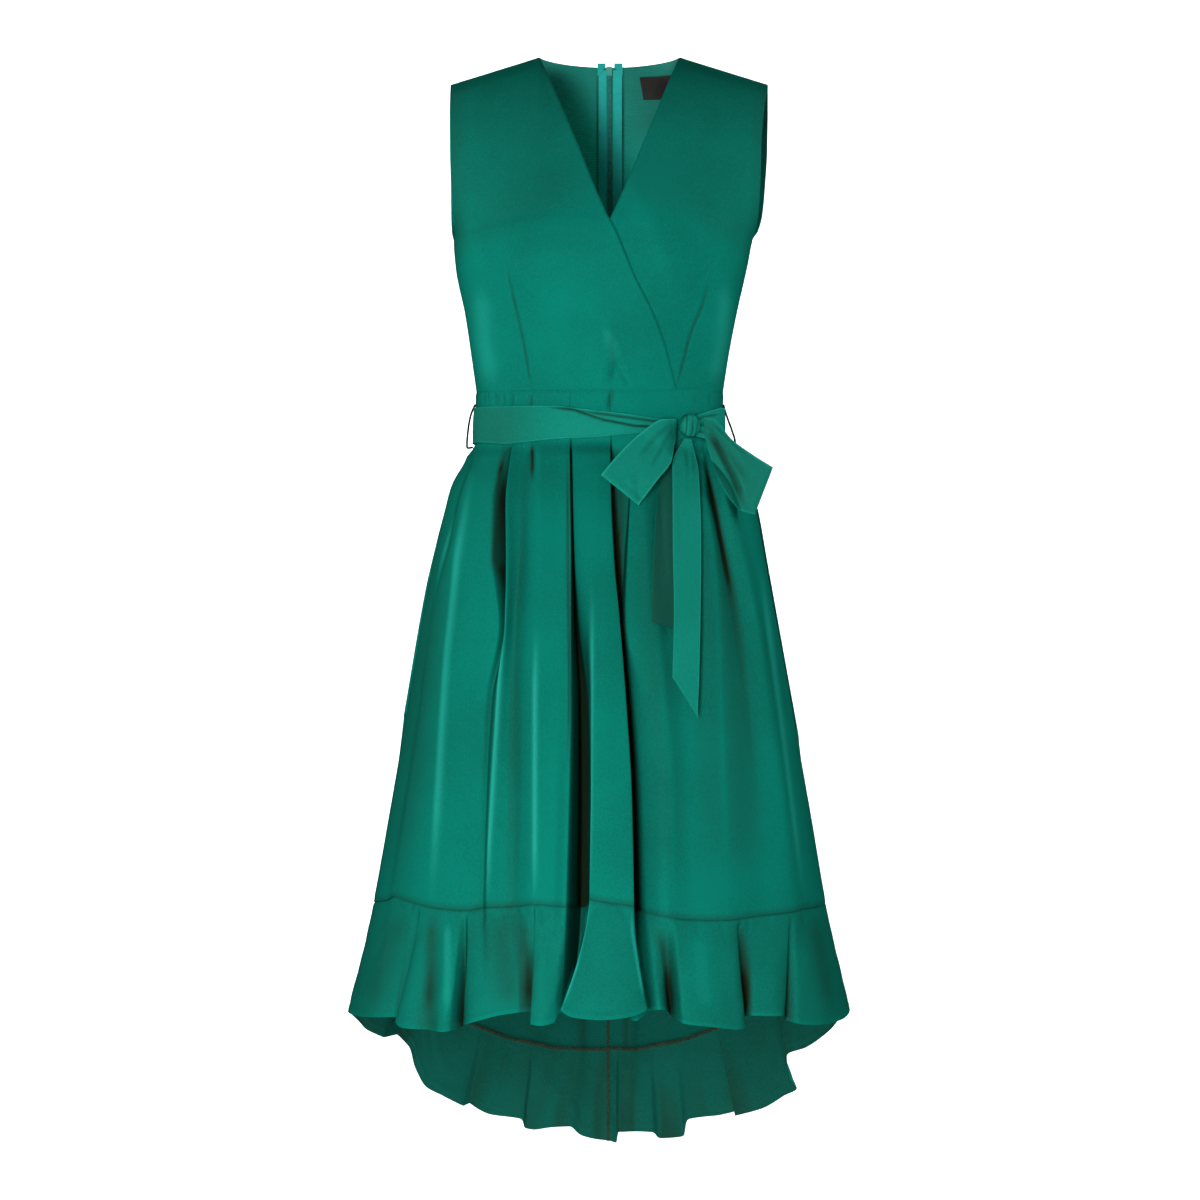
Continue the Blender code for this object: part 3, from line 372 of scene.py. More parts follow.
@dataclass(frozen=True)
class SatinFace:
    """The shiny side of the satin. Its gloss takes the cloth's own green, so it is partly metallic. Its
    colour carries painted shade in folds and on slopes turned from the camera, and painted highlights.
    """

    name: str = "satin_face"
    base: tuple = (0.0026, 0.2000, 0.1480, 1.0)
    other: tuple = (0.0032, 0.1560, 0.1130, 1.0)
    # Painted shade colour, mixed in by the painted shading.
    deep: tuple = (0.0110, 0.0150, 0.0060, 1.0)
    # Painted shade colour for slopes that turn from the camera.
    painted_side_shade: tuple = (0.0010, 0.0300, 0.0210, 1.0)
    # Painted highlight colour, mixed in where the painted shading is below nought.
    lit: tuple = (0.0300, 0.4800, 0.3900, 1.0)
    roughness: float = 0.52
    gloss: float = 0.04
    # How strongly slopes that turn from the camera take the painted side shade.
    rim: float = 0.85
    specular: float = 0.0
    edge_tint: tuple = (0.01, 0.25, 0.20, 1.0)
    anisotropic: float = 0.0
    threads: float = 2600.0

    def build(self, groups: dict) -> bpy.types.Material:
        """The material, with its weave in the piece's UVs, painted shade and highlights from an attribute,
        and painted shade where the surface turns from the camera.

        Args:
            groups: The node groups by name.

        Returns:
            The material.
        """
        made, tree, shader, coordinates = start_material(self.name)
        uv = coordinates.outputs["UV"]
        # Painted shade on slopes turned from the camera, by the Layer Weight's facing.
        slope = tree.nodes.new("ShaderNodeLayerWeight")
        slope.inputs["Blend"].default_value = 0.5
        turned = calculate(tree, "MULTIPLY", slope.outputs["Facing"], self.rim)
        tint = place_group(tree, groups["tint"], Vector=coordinates.outputs["Object"], Scale=7.0,
                           Base=self.base, Other=self.other, Deep=self.deep,
                           Depth=read_attribute(tree, "painted_shading"))
        away = mix_colour(tree, turned, tint.outputs[0], self.painted_side_shade)
        # Painted highlights where the painted shading is below nought.
        painted_highlight_amount = calculate(tree, "MULTIPLY", read_attribute(tree, "painted_shading"), -1.0)
        tree.links.new(mix_colour(tree, painted_highlight_amount, away, self.lit), shader.inputs["Base Color"])
        weave = place_group(tree, groups["weave"], UV=uv, Threads=self.threads, Slub=0.35, Crush=0.9)
        rough = calculate(tree, "MULTIPLY_ADD", weave.outputs["Sheen Mask"], 0.12, self.roughness - 0.06)
        tree.links.new(rough, shader.inputs["Roughness"])
        shader.inputs["Metallic"].default_value = self.gloss
        shader.inputs["Specular IOR Level"].default_value = self.specular
        shader.inputs["Specular Tint"].default_value = self.edge_tint
        shader.inputs["Anisotropic"].default_value = self.anisotropic
        add_bump(tree, shader, weave.outputs["Height"], 0.00022, 0.55)
        return made


@dataclass(frozen=True)
class SatinBack:
    """The matt inner side, with its fine crosswise ribs and painted shade in its folds."""

    name: str = "satin_back"
    base: tuple = (0.0026, 0.0960, 0.0720, 1.0)
    other: tuple = (0.0030, 0.0740, 0.0550, 1.0)
    # Painted shade colour of folds, which also darkens the ribs.
    deep: tuple = (0.0090, 0.0300, 0.0170, 1.0)
    roughness: float = 0.85
    pitch: float = 0.0029
    ribbed: float = 0.10

    def build(self, groups: dict) -> bpy.types.Material:
        """The material, ribbed across the piece's UVs, with painted shade from an attribute.

        Args:
            groups: The node groups by name.

        Returns:
            The material.
        """
        made, tree, shader, coordinates = start_material(self.name)
        uv = coordinates.outputs["UV"]
        ribs = place_group(tree, groups["ribs"], UV=uv, Pitch=self.pitch, Wander=0.0011)
        shade = calculate(tree, "MULTIPLY", ribs.outputs["Mask"], self.ribbed)
        # Darker ribs and painted shade from the attribute, whichever is more.
        depth = calculate(tree, "MAXIMUM", shade, read_attribute(tree, "painted_shading"))
        tint = place_group(tree, groups["tint"], Vector=coordinates.outputs["Object"], Scale=8.0,
                           Base=self.base, Other=self.other, Deep=self.deep, Depth=depth)
        tree.links.new(tint.outputs[0], shader.inputs["Base Color"])
        shader.inputs["Roughness"].default_value = self.roughness
        shader.inputs["Specular IOR Level"].default_value = 0.04
        add_bump(tree, shader, ribs.outputs["Height"], 0.00035, 0.15 + 0.5 * self.ribbed)
        return made


@dataclass(frozen=True)
class TapeFinish:
    """Woven zip tape or a woven label, ribbed in its own UVs."""

    name: str
    base: tuple
    other: tuple
    deep: tuple
    pitch: float = 0.0008
    roughness: float = 0.75

    def build(self, groups: dict) -> bpy.types.Material:
        """The material.

        Args:
            groups: The node groups by name.

        Returns:
            The material.
        """
        made, tree, shader, coordinates = start_material(self.name)
        ribs = place_group(tree, groups["ribs"], UV=coordinates.outputs["UV"], Pitch=self.pitch,
                           Wander=self.pitch / 8)
        tint = place_group(tree, groups["tint"], Vector=coordinates.outputs["Object"], Scale=90.0,
                           Base=self.base, Other=self.other, Deep=self.deep, Depth=ribs.outputs["Mask"])
        tree.links.new(tint.outputs[0], shader.inputs["Base Color"])
        shader.inputs["Roughness"].default_value = self.roughness
        shader.inputs["Specular IOR Level"].default_value = 0.3
        add_bump(tree, shader, ribs.outputs["Height"], 0.00015, 0.6)
        return made


@dataclass(frozen=True)
class HardFinish:
    """Nylon or enamelled metal, a little uneven."""

    name: str
    base: tuple
    other: tuple
    roughness: float
    metallic: float = 0.0
    scale: float = 300.0

    def build(self, groups: dict) -> bpy.types.Material:
        """The material.

        Args:
            groups: The node groups by name.

        Returns:
            The material.
        """
        made, tree, shader, coordinates = start_material(self.name)
        tint = place_group(tree, groups["tint"], Vector=coordinates.outputs["Object"], Scale=self.scale,
                           Base=self.base, Other=self.other, Deep=self.other, Depth=0.0)
        tree.links.new(tint.outputs[0], shader.inputs["Base Color"])
        grain = noise(tree, coordinates.outputs["Object"], self.scale * 6, 3.0)
        rough = calculate(tree, "MULTIPLY_ADD", grain, 0.25, self.roughness - 0.12)
        tree.links.new(rough, shader.inputs["Roughness"])
        shader.inputs["Metallic"].default_value = self.metallic
        add_bump(tree, shader, grain, 0.00005, 0.3)
        return made


@dataclass(frozen=True)
class ThreadFinish:
    """Spun sewing thread with a twist."""

    name: str
    base: tuple
    other: tuple

    def build(self, groups: dict) -> bpy.types.Material:
        """The material.

        Args:
            groups: The node groups by name.

        Returns:
            The material.
        """
        made, tree, shader, coordinates = start_material(self.name)
        grain = noise(tree, coordinates.outputs["Object"], 2400.0, 2.0)
        tint = place_group(tree, groups["tint"], Vector=coordinates.outputs["Object"], Scale=500.0,
                           Base=self.base, Other=self.other, Deep=self.other, Depth=0.0)
        tree.links.new(tint.outputs[0], shader.inputs["Base Color"])
        shader.inputs["Roughness"].default_value = 0.8
        shader.inputs["Specular IOR Level"].default_value = 0.08
        add_bump(tree, shader, grain, 0.0001, 0.6)
        return made


@dataclass
class Wardrobe:
    """Every finish of the dress, built once."""

    made: dict = field(default_factory=dict)

    def build(self) -> "Wardrobe":
        """Builds the groups, then the materials.

        Returns:
            This wardrobe.
        """
        groups = {"weave": build_satin_weave(), "ribs": build_ribs(), "tint": build_tint()}
        finishes = {
            "face": SatinFace(),
            # A lighter copy of the same satin for the sash and bow: painted light. It also takes less painted
            # side shade.
            "sash": SatinFace("satin_sash_painted_lighter", (0.0070, 0.2450, 0.1800, 1.0), (0.0060, 0.2100, 0.1520, 1.0),
                              rim=0.6),
            "back": SatinBack(),
            # A far lighter copy of the inner side for the bodice: painted light where the same cloth is lit
            # through the neck. Its third colour is painted shade.
            "lining_painted_lighter": SatinBack("satin_back_above_painted_lighter", (0.0140, 0.5000, 0.3950, 1.0),
                                (0.0120, 0.4300, 0.3400, 1.0), (0.0140, 0.0600, 0.0420, 1.0), ribbed=0.75),
            "tape": TapeFinish("zip_tape_cloth", (0.010, 0.430, 0.390, 1.0), (0.008, 0.370, 0.340, 1.0),
                               (0.006, 0.330, 0.290, 1.0)),
            "label": TapeFinish("label_cloth", (0.012, 0.008, 0.007, 1.0), (0.008, 0.006, 0.005, 1.0),
                                (0.004, 0.003, 0.003, 1.0), pitch=0.0005, roughness=0.55),
            "nylon": HardFinish("zip_nylon", (0.014, 0.190, 0.180, 1.0), (0.009, 0.130, 0.120, 1.0), 0.55),
            "enamel": HardFinish("zip_enamel", (0.010, 0.240, 0.180, 1.0), (0.008, 0.190, 0.150, 1.0), 0.35,
                                 metallic=0.25),
            "loop": ThreadFinish("loop_thread", (0.006, 0.014, 0.009, 1.0), (0.004, 0.008, 0.006, 1.0)),
            "overlock": ThreadFinish("overlock_thread", (0.024, 0.048, 0.030, 1.0),
                                     (0.012, 0.026, 0.017, 1.0)),
        }
        for key, finish in finishes.items():
            self.made[key] = finish.build(groups)
        return self

    def __getitem__(self, key: str) -> bpy.types.Material:
        """The material of this key."""
        return self.made[key]


# ---------------------------------------------------------------- the form that the cloth hangs in


def smooth(knots: Array | tuple, values: Array | tuple, at: Array) -> Array:
    """A cubic through the knots without overshoot.

    Args:
        knots: Places, rising or falling.
        values: Values there, along the first axis.
        at: Where to read it.

    Returns:
        The values at those places.
    """
    knots, values = np.asarray(knots, float), np.asarray(values, float)
    if knots[0] > knots[-1]:
        knots, values = knots[::-1], values[::-1]
    steps = np.diff(knots)
    slopes = np.diff(values) / steps
    product = slopes[:-1] * slopes[1:]
    inner = np.where(product > 0, 2 * product / (slopes[:-1] + slopes[1:] + 1e-30), 0.0)
    tangents = np.concatenate([slopes[:1], inner, slopes[-1:]])
    at = np.clip(at, knots[0], knots[-1])
    cell = np.clip(np.searchsorted(knots, at, side="right") - 1, 0, len(steps) - 1)
    width = steps[cell]
    f = (at - knots[cell]) / width
    return ((1 + 2 * f) * (1 - f) ** 2 * values[cell] + f * (1 - f) ** 2 * width * tangents[cell]
            + f * f * (3 - 2 * f) * values[cell + 1] + f * f * (f - 1) * width * tangents[cell + 1])


@dataclass(frozen=True)
class Form:
    """The smooth hollow form: level sections from the underarm to the back hem.

    Each section row holds z, the x of its two sides, and how deep it is in front and behind.
    """

    sections: tuple = (
        (-0.207, -0.1745, 0.1605, 0.117, 0.105),
        (-0.234, -0.1719, 0.1540, 0.120, 0.103),
        (-0.288, -0.1618, 0.1428, 0.110, 0.097),
        (-0.342, -0.1540, 0.1327, 0.100, 0.090),
        (-0.376, -0.1490, 0.1272, 0.097, 0.088),
        (-0.434, -0.1505, 0.1262, 0.100, 0.092),
        (-0.451, -0.1600, 0.1385, 0.108, 0.100),
        (-0.479, -0.1764, 0.1555, 0.124, 0.114),
        (-0.507, -0.1842, 0.1641, 0.138, 0.127),
        (-0.563, -0.1966, 0.1742, 0.158, 0.147),
        (-0.619, -0.2078, 0.1842, 0.175, 0.165),
        (-0.731, -0.2268, 0.2044, 0.203, 0.193),
        (-0.843, -0.2458, 0.2246, 0.226, 0.216),
        (-0.955, -0.2660, 0.2436, 0.245, 0.234),
        (-1.011, -0.2783, 0.2559, 0.252, 0.242),
        (-1.067, -0.2918, 0.2682, 0.258, 0.249),
        (-1.150, -0.2990, 0.2760, 0.262, 0.256),
        (-1.250, -0.3040, 0.2820, 0.266, 0.262),
    )

    def size(self, z: Array, name: str) -> Array:
        """One size of the section at height z: left, right, front or back."""
        rows = np.array(self.sections)
        return smooth(rows[:, 0], rows[:, ("left", "right", "front", "back").index(name) + 1], z)

    def middle(self, z: Array) -> Array:
        """The x of the section's middle."""
        return (self.size(z, "left") + self.size(z, "right")) / 2

    def half(self, z: Array) -> Array:
        """Half the section's width."""
        return (self.size(z, "right") - self.size(z, "left")) / 2

    def ring(self, angle: Array, z: Array) -> tuple[Array, Array]:
        """The x and y at this angle round the form. Angle -90 degrees is the front.

        Args:
            angle: Angle round the form.
            z: Height in metres.

        Returns:
            The x and the y.
        """
        side, deep, power = np.cos(angle), np.sin(angle), 2 / ROUNDNESS
        reach = np.where(deep < 0, self.size(z, "front"), self.size(z, "back"))
        return (self.middle(z) + self.half(z) * np.sign(side) * np.abs(side) ** power,
                reach * np.sign(deep) * np.abs(deep) ** power)

    def angle(self, x: Array, z: Array, side: Side) -> Array:
        """The angle at which the front, or the back, has this x."""
        across = np.clip((x - self.middle(z)) / self.half(z), -1, 1)
        turned = np.arccos(np.sign(across) * np.abs(across) ** (ROUNDNESS / 2))
        return -turned if side is Side.FRONT else turned

    def outward(self, angle: Array, z: Array) -> tuple[Array, Array]:
        """The level direction that faces out.

        Args:
            angle: Angle round the form.
            z: Height in metres.

        Returns:
            The x and y of a unit direction.
        """
        deep = np.where(np.sin(angle) < 0, self.size(z, "front"), self.size(z, "back"))
        x, y = self.ring(angle, z)
        across, along = (x - self.middle(z)) / self.half(z), y / deep
        out_x = np.sign(across) * np.abs(across) ** (ROUNDNESS - 1) / self.half(z)
        out_y = np.sign(along) * np.abs(along) ** (ROUNDNESS - 1) / deep
        length = np.hypot(out_x, out_y)
        return out_x / length, out_y / length

    def stand_off(self, angle: Array, z: Array, stand: Array) -> Array:
        """Points that stand this far out from the form."""
        x, y = self.ring(angle, z)
        out_x, out_y = self.outward(angle, z)
        return np.stack([x + out_x * stand, y + out_y * stand, z + np.zeros_like(x)], axis=-1)

    def over_front(self, x: Array, z: Array, stand: Array) -> Array:
        """Points with this x and z that stand this far out from the form's front.

        Args:
            x: Place across in metres.
            z: Height in metres.
            stand: Distance out from the form in metres.

        Returns:
            The points.
        """
        body_x = np.asarray(x, float)
        for _ in range(5):
            angle = self.angle(body_x, z, Side.FRONT)
            out_x, out_y = self.outward(angle, z)
            body_x = x - out_x * stand
        return np.stack([x + np.zeros_like(body_x), self.ring(angle, z)[1] + out_y * stand,
                         z + np.zeros_like(body_x)], axis=-1)


FORM = Form()


# ---------------------------------------------------------------- creases and sheets


FADE_SHARE = 5
FADE_LEAST = 0.12
SHARP_EDGE = 60


@dataclass(frozen=True)
class Crease:
    """A soft trough, or a ridge where the depth is below nought, along a line of (x, z) in mm."""

    line: tuple
    width: float
    depth: float
    sharp: float = 2.0

    def press(self, x: Array, z: Array) -> Array:
        """How far the trough sinks the cloth at these places, in metres.

        Args:
            x: Place across in metres.
            z: Height in metres.

        Returns:
            Depths in metres.
        """
        points = np.array(self.line, float) * MM
        away = np.full(x.shape, np.inf)
        along = np.zeros(x.shape)
        lengths = np.hypot(*np.diff(points, axis=0).T)
        before = np.concatenate([[0], np.cumsum(lengths)])
        for k in range(len(points) - 1):
            a, step = points[k], points[k + 1] - points[k]
            share = np.clip(((x - a[0]) * step[0] + (z - a[1]) * step[1]) / (step @ step), 0, 1)
            distance = np.hypot(x - a[0] - share * step[0], z - a[1] - share * step[1])
            nearer = distance < away
            away = np.where(nearer, distance, away)
            along = np.where(nearer, (before[k] + share * lengths[k]) / before[-1], along)
        fade = np.clip(np.minimum(along, 1 - along) * FADE_SHARE, FADE_LEAST, 1)
        return self.depth * MM * fade * np.exp(-((away / (self.width * MM)) ** self.sharp))


def pressed(creases: tuple, x: Array, z: Array) -> Array:
    """What all these creases sink the cloth by.

    Args:
        creases: The creases.
        x: Place across in metres.
        z: Height in metres.

    Returns:
        Depths in metres.
    """
    total = np.zeros(np.shape(x))
    for crease in creases:
        total = total + crease.press(np.asarray(x, float), np.asarray(z, float))
    return total


def facing(points: Array) -> Array:
    """Unit directions that face out, at each point of a grid whose columns run anticlockwise."""
    normals = np.cross(np.gradient(points, axis=0), np.gradient(points, axis=1))
    return normals / np.maximum(np.linalg.norm(normals, axis=-1, keepdims=True), 1e-12)


def flat_places(points: Array) -> Array:
    """Where each point of a grid lies on the flat cloth, in metres: the UVs of its weave.

    Args:
        points: A grid of points.

    Returns:
        The places across and down.
    """
    across = np.linalg.norm(np.diff(points, axis=1), axis=-1).mean(axis=0)
    down = np.linalg.norm(np.diff(points, axis=0), axis=-1).mean(axis=1)
    u = np.concatenate([[0], np.cumsum(across)])
    v = np.concatenate([[0], np.cumsum(down)])
    return np.stack(np.broadcast_arrays(u[None, :], -v[:, None]), axis=-1)


def deselect() -> None:
    """Nothing is selected or active."""
    for other in bpy.context.view_layer.objects:
        other.select_set(False)
    bpy.context.view_layer.objects.active = None


def activate(piece: Piece) -> None:
    """Only this piece is selected, and it is active."""
    deselect()
    piece.select_set(True)
    bpy.context.view_layer.objects.active = piece


def apply_modifiers(piece: Piece) -> None:
    """Applies every modifier of a piece in its order."""
    activate(piece)
    for modifier in list(piece.modifiers):
        bpy.ops.object.modifier_apply(modifier=modifier.name)


def settle(piece: Piece, name: str) -> None:
    """Names a piece and writes its place into its mesh.

    Args:
        piece: The piece.
        name: The name.
    """
    activate(piece)
    bpy.ops.object.transform_apply(location=True, rotation=True, scale=True)
    piece.name = name
    piece.data.name = name


def write_attribute(mesh: bpy.types.Mesh, name: str, values: Array) -> None:
    """A float for each point of a mesh."""
    made = mesh.attributes.new(name, "FLOAT", "POINT")
    made.data.foreach_set("value", np.asarray(values, np.float32).ravel())


def painted_shading(points: Array, reach: float = 0.016, full: float = 0.020, ease: float = 1.4) -> Array:
    """Painted shade for each point, from how deep it lies between the cloth beside it, from 0 to 1, read
    along its row.

    Args:
        points: A grid of points.
        reach: How far along its row to look, in metres.
        full: The depth that counts as 1, in metres.
        ease: The power that the depth is raised to.

    Returns:
        Depths from 0 to 1.
    """
    normals = facing(points)
    total = np.zeros(points.shape[:2])
    spacing = np.linalg.norm(np.diff(points, axis=1), axis=-1).mean()
    for metres in (reach, reach * 2):
        steps = max(1, int(metres / spacing))
        padded = np.pad(points, ((0, 0), (steps, steps), (0, 0)), mode="edge")
        beside = (padded[:, 2 * steps:] + padded[:, : -2 * steps]) / 2
        total += np.clip(((beside - points) * normals).sum(axis=-1) / full, 0, 1)
    return np.clip(total, 0, 1) ** ease


def painted_edge_highlights(shade: Array, axis: int, light: float, count: int = 2) -> Array:
    """The shade, less by a painted highlight at the outermost rows (axis 0) or columns (axis 1), where a
    pressed edge would catch the light.

    Args:
        shade: How dark each point is.
        axis: 0 for rows, 1 for columns.
        light: How much lighter the edge is.
        count: How many rows or columns.

    Returns:
        The new shade.
    """
    made = np.moveaxis(shade.copy(), axis, 0)
    made[:count] -= light
    made[-count:] -= light
    return np.moveaxis(made, 0, axis)


def valley_depth(points: Array, stand: Array, reach: float, full: float, ease: float, least: float) -> Array:
    """How deep each point lies below the higher cloth on both its sides.

    Args:
        points: A grid of points.
        stand: How far each stands out from the form.
        reach: How far along its row to look, in metres.
        full: The depth that counts as 1, in metres.
        ease: The power that the depth is raised to.
        least: The depth that still counts as 0, in metres.

    Returns:
        Depths from 0 to 1.
    """
    length = np.linalg.norm(np.diff(points, axis=1), axis=-1).mean(axis=0)
    place = np.concatenate([[0], np.cumsum(length)])
    left, right = stand.copy(), stand.copy()
    for column in range(stand.shape[1]):
        low = np.searchsorted(place, place[column] - reach)
        high = np.searchsorted(place, place[column] + reach, side="right")
        left[:, column] = stand[:, low: column + 1].max(axis=1)
        right[:, column] = stand[:, column: high].max(axis=1)
    return np.clip((np.minimum(left, right) - stand - least) / full, 0, 1) ** ease


@dataclass
class Sheet:
    """A piece of cloth laid on a grid of points, turned into a wall with a face and a back."""

    name: str
    points: Array
    nodes: tuple
    rests_on: tuple
    held: str = "hung"
    thickness: float = PLY
    materials: tuple = ("face", "back")
    slot: Slot = Slot.SATIN
    # Painted shade of each point, with painted highlights below nought; by default the painted shade of its
    # folds.
    depth: Array | None = None
    declared: bool = True

    def build(self, wardrobe: Wardrobe) -> Piece:
        """Args:
            wardrobe: The finishes.

        Returns:
            The finished piece.
        """
        rows, columns = self.points.shape[:2]
        deselect()
        bpy.ops.mesh.primitive_grid_add(x_subdivisions=columns - 1, y_subdivisions=rows - 1, size=1)
        piece = bpy.context.object
        mesh = piece.data
        places = np.empty(len(mesh.vertices) * 3)
        mesh.vertices.foreach_get("co", places)
        places = places.reshape(-1, 3)
        column = np.rint((places[:, 0] + 0.5) * (columns - 1)).astype(int)
        row = np.rint((0.5 - places[:, 1]) * (rows - 1)).astype(int)
        mesh.vertices.foreach_set("co", self.points[row, column].astype(np.float32).ravel())
        flat = flat_places(self.points)[row, column]
        corner = np.empty(len(mesh.loops), int)
        mesh.loops.foreach_get("vertex_index", corner)
        layer = mesh.uv_layers.active or mesh.uv_layers.new(name="UVMap")
        layer.data.foreach_set("uv", flat[corner].astype(np.float32).ravel())
        # The painted shading goes into an attribute that the materials read as colour.
        depth = painted_shading(self.points) if self.depth is None else self.depth
        write_attribute(mesh, "painted_shading", depth[row, column])
        mesh.update()
        for key in self.materials:
            mesh.materials.append(wardrobe[key])
        wall = piece.modifiers.new("wall", "SOLIDIFY")
        wall.thickness = self.thickness
        wall.offset = -1
        wall.use_even_offset = False
        wall.material_offset = len(self.materials) - 1
        wall.material_offset_rim = 0
        apply_modifiers(piece)
        settle(piece, self.name)
        piece.data.shade_smooth()
        piece.data.set_sharp_from_angle(angle=math.radians(SHARP_EDGE))
        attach(piece, BODY)
        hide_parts(*self.nodes)
        LOG.info("%s: %d points", self.name, rows * columns)
        return piece


# ---------------------------------------------------------------- bodice


@dataclass
class Bodice:
    """The two fronts, which cross in a wrap, and the two backs, which meet at the zip.

    The walls' tables hold t (0 at the shoulder seam, 1 at the waist seam), the x of the two sides, the
    depth, and the share of that depth at which the armhole's edge lies. The edges' table holds z, and
    the x of the front that laps over and of the one under it.
    """

    waist: float = -0.3760
    shoulder_drop: float = 0.031
    shoulder_length: float = 0.100
    neck_half: float = 0.078
    neck_deep: float = 0.060
    neck_drop: float = 0.006
    bust: tuple = (0.092, -0.238)
    bust_shift: float = 0.006
    bust_reach: float = 0.048
    bust_rise: float = 0.006
    lap_reach: float = 0.048
    lap_ease: float = 0.030
    lap_step: float = 0.0030
    seam_calm: float = 0.012
    centre_groove: float = 0.0010
    groove_half: float = 0.0016
    rows: int = 106
    columns: int = 150
    front_table: tuple = (
        (0.00, -0.1780, 0.1775, 0.000, 0.55), (0.04, -0.1778, 0.1752, 0.029, 0.56),
        (0.10, -0.1773, 0.1722, 0.052, 0.58), (0.20, -0.1765, 0.1690, 0.075, 0.60),
        (0.32, -0.1757, 0.1678, 0.093, 0.54), (0.42, -0.1738, 0.1662, 0.107, 0.37),
        (0.48, -0.1722, 0.1635, 0.114, 0.17), (0.51, -0.1745, 0.1605, 0.117, 0.00),
        (0.60, -0.1722, 0.1545, 0.120, 0.00), (0.75, -0.1618, 0.1428, 0.110, 0.00),
        (0.90, -0.1540, 0.1327, 0.100, 0.00), (1.00, -0.1490, 0.1272, 0.097, 0.00),
    )
    back_table: tuple = (
        (0.00, -0.1780, 0.1775, 0.000, 0.55), (0.04, -0.1792, 0.1780, 0.030, 0.56),
        (0.10, -0.1800, 0.1785, 0.056, 0.58), (0.20, -0.1802, 0.1783, 0.080, 0.60),
        (0.32, -0.1792, 0.1760, 0.097, 0.53), (0.42, -0.1786, 0.1725, 0.104, 0.40),
        (0.48, -0.1770, 0.1665, 0.105, 0.20), (0.51, -0.1745, 0.1605, 0.105, 0.00),
        (0.60, -0.1722, 0.1545, 0.103, 0.00), (0.75, -0.1618, 0.1428, 0.097, 0.00),
        (0.90, -0.1540, 0.1327, 0.090, 0.00), (1.00, -0.1490, 0.1272, 0.088, 0.00),
    )
    edges: tuple = (
        (0.0000, -0.0780, 0.0780), (-0.0948, -0.0392, 0.0400), (-0.1836, -0.0029, 0.0026),
        (-0.2000, 0.0060, -0.0065), (-0.2530, 0.0279, -0.0290), (-0.2894, 0.0466, -0.0480),
        (-0.3233, 0.0599, -0.0610), (-0.3682, 0.0719, -0.0730), (-0.3760, 0.0741, -0.0752),
    )
    over_creases: tuple = (
        Crease(((-114, -237), (-107, -271), (-97, -316), (-86, -376)), 1.5, 1.5),
        Crease(((-112, -237), (-104, -271)), 7.0, 1.2),
        Crease(((-103, -262), (-102, -277)), 2.2, 0.8),
        Crease(((2, -318), (8, -345), (3, -372)), 4.5, 1.8),
        Crease(((9, -345), (21, -371)), 3.0, 1.1),
        Crease(((-1, -300), (-4, -340), (-9, -374)), 9.0, -2.2),
        Crease(((-28, -290), (-26, -330), (-30, -374)), 12.0, 1.0),
        Crease(((-55, -270), (-50, -320), (-52, -374)), 14.0, -1.1),
        Crease(((-126, -300), (-119, -338), (-117, -374)), 10.0, -1.4),
        Crease(((-140, -250), (-134, -300), (-131, -350)), 6.0, 1.0),
        Crease(((-153, -170), (-142, -215), (-133, -245)), 7.0, 1.3),
    )
    # The curve, (x, z) in mm, above which the fronts get painted shade.
    chest: tuple = ((-190, -262), (-145, -234), (-72, -201), (0, -183), (89, -205), (139, -238), (190, -266))
    # Lines of painted highlight on the fronts; they shape nothing.
    painted_highlight_lines: tuple = (
        Crease(((-143, -258), (-139, -320), (-130, -374)), 10.0, -0.12),
        Crease(((128, -252), (126, -310), (116, -374)), 8.0, -0.12),
        Crease(((-4, -308), (2, -328), (4, -348)), 5.0, -0.16),
    )
    # The zip tapes' outer edges, drawn as thin lines of painted shade on the backs.
    tape_edges: tuple = (((-13.5, 10), (-13.5, -400)), ((15.6, 10), (15.6, -400)))
    under_creases: tuple = (
        Crease(((110, -251), (104, -279), (90, -313), (73, -376)), 1.5, 1.4),
        Crease(((106, -240), (103, -268), (97, -290)), 9.0, 1.0),
        Crease(((93, -322), (86, -330)), 2.6, 0.7),
        Crease(((88, -340), (80, -352)), 2.6, 0.6),
        Crease(((124, -290), (116, -330), (112, -372)), 9.0, -1.8),
        Crease(((104, -320), (98, -350), (97, -374)), 6.0, 0.9),
        Crease(((150, -150), (143, -200), (135, -240)), 8.0, 1.0),
    )

    def read(self, table: tuple, t: Array, column: int) -> Array:
        """One column of a wall's table at t."""
        rows = np.array(table)
        return smooth(rows[:, 0], rows[:, column], t)

    def shoulder(self, x: Array) -> Array:
        """The height of the shoulder seam."""
        return -self.shoulder_drop * np.clip((np.abs(x) - self.neck_half) / self.shoulder_length, 0, 1)

    def depth(self, table: tuple, x: Array, t: Array) -> tuple[Array, Array]:
        """How far the wall lies from the plane of the shoulder seams, and how far out to the side.

        Args:
            table: The wall's table.
            x: Place across in metres.
            t: 0 at the shoulder seam, 1 at the waist seam.

        Returns:
            The depth, and the share of the way out.
        """
        left, right, share = (self.read(table, t, k) for k in (1, 2, 4))
        half = (right - left) / 2 / (1 - share**ROUNDNESS) ** (1 / ROUNDNESS)
        across = np.clip(np.abs(x - (left + right) / 2) / half, 0, 1)
        return self.read(table, t, 3) * (1 - across**ROUNDNESS) ** (1 / ROUNDNESS), across

    def front_point(self, x: Array, t: Array) -> Array:
        """Points of the front, outside.

        Args:
            x: Place across in metres.
            t: 0 at the shoulder seam, 1 at the waist seam.

        Returns:
            The points.
        """
        z = self.shoulder(x) * (1 - t) + self.waist * t
        depth, across = self.depth(self.front_table, x, t)
        beside, above = np.abs(x + self.bust_shift) - self.bust[0], z - self.bust[1]
        away = (beside**2 + above**2) / self.bust_reach**2
        return np.stack([x, -depth - self.bust_rise * np.exp(-away) * (1 - across**4), z], axis=-1)

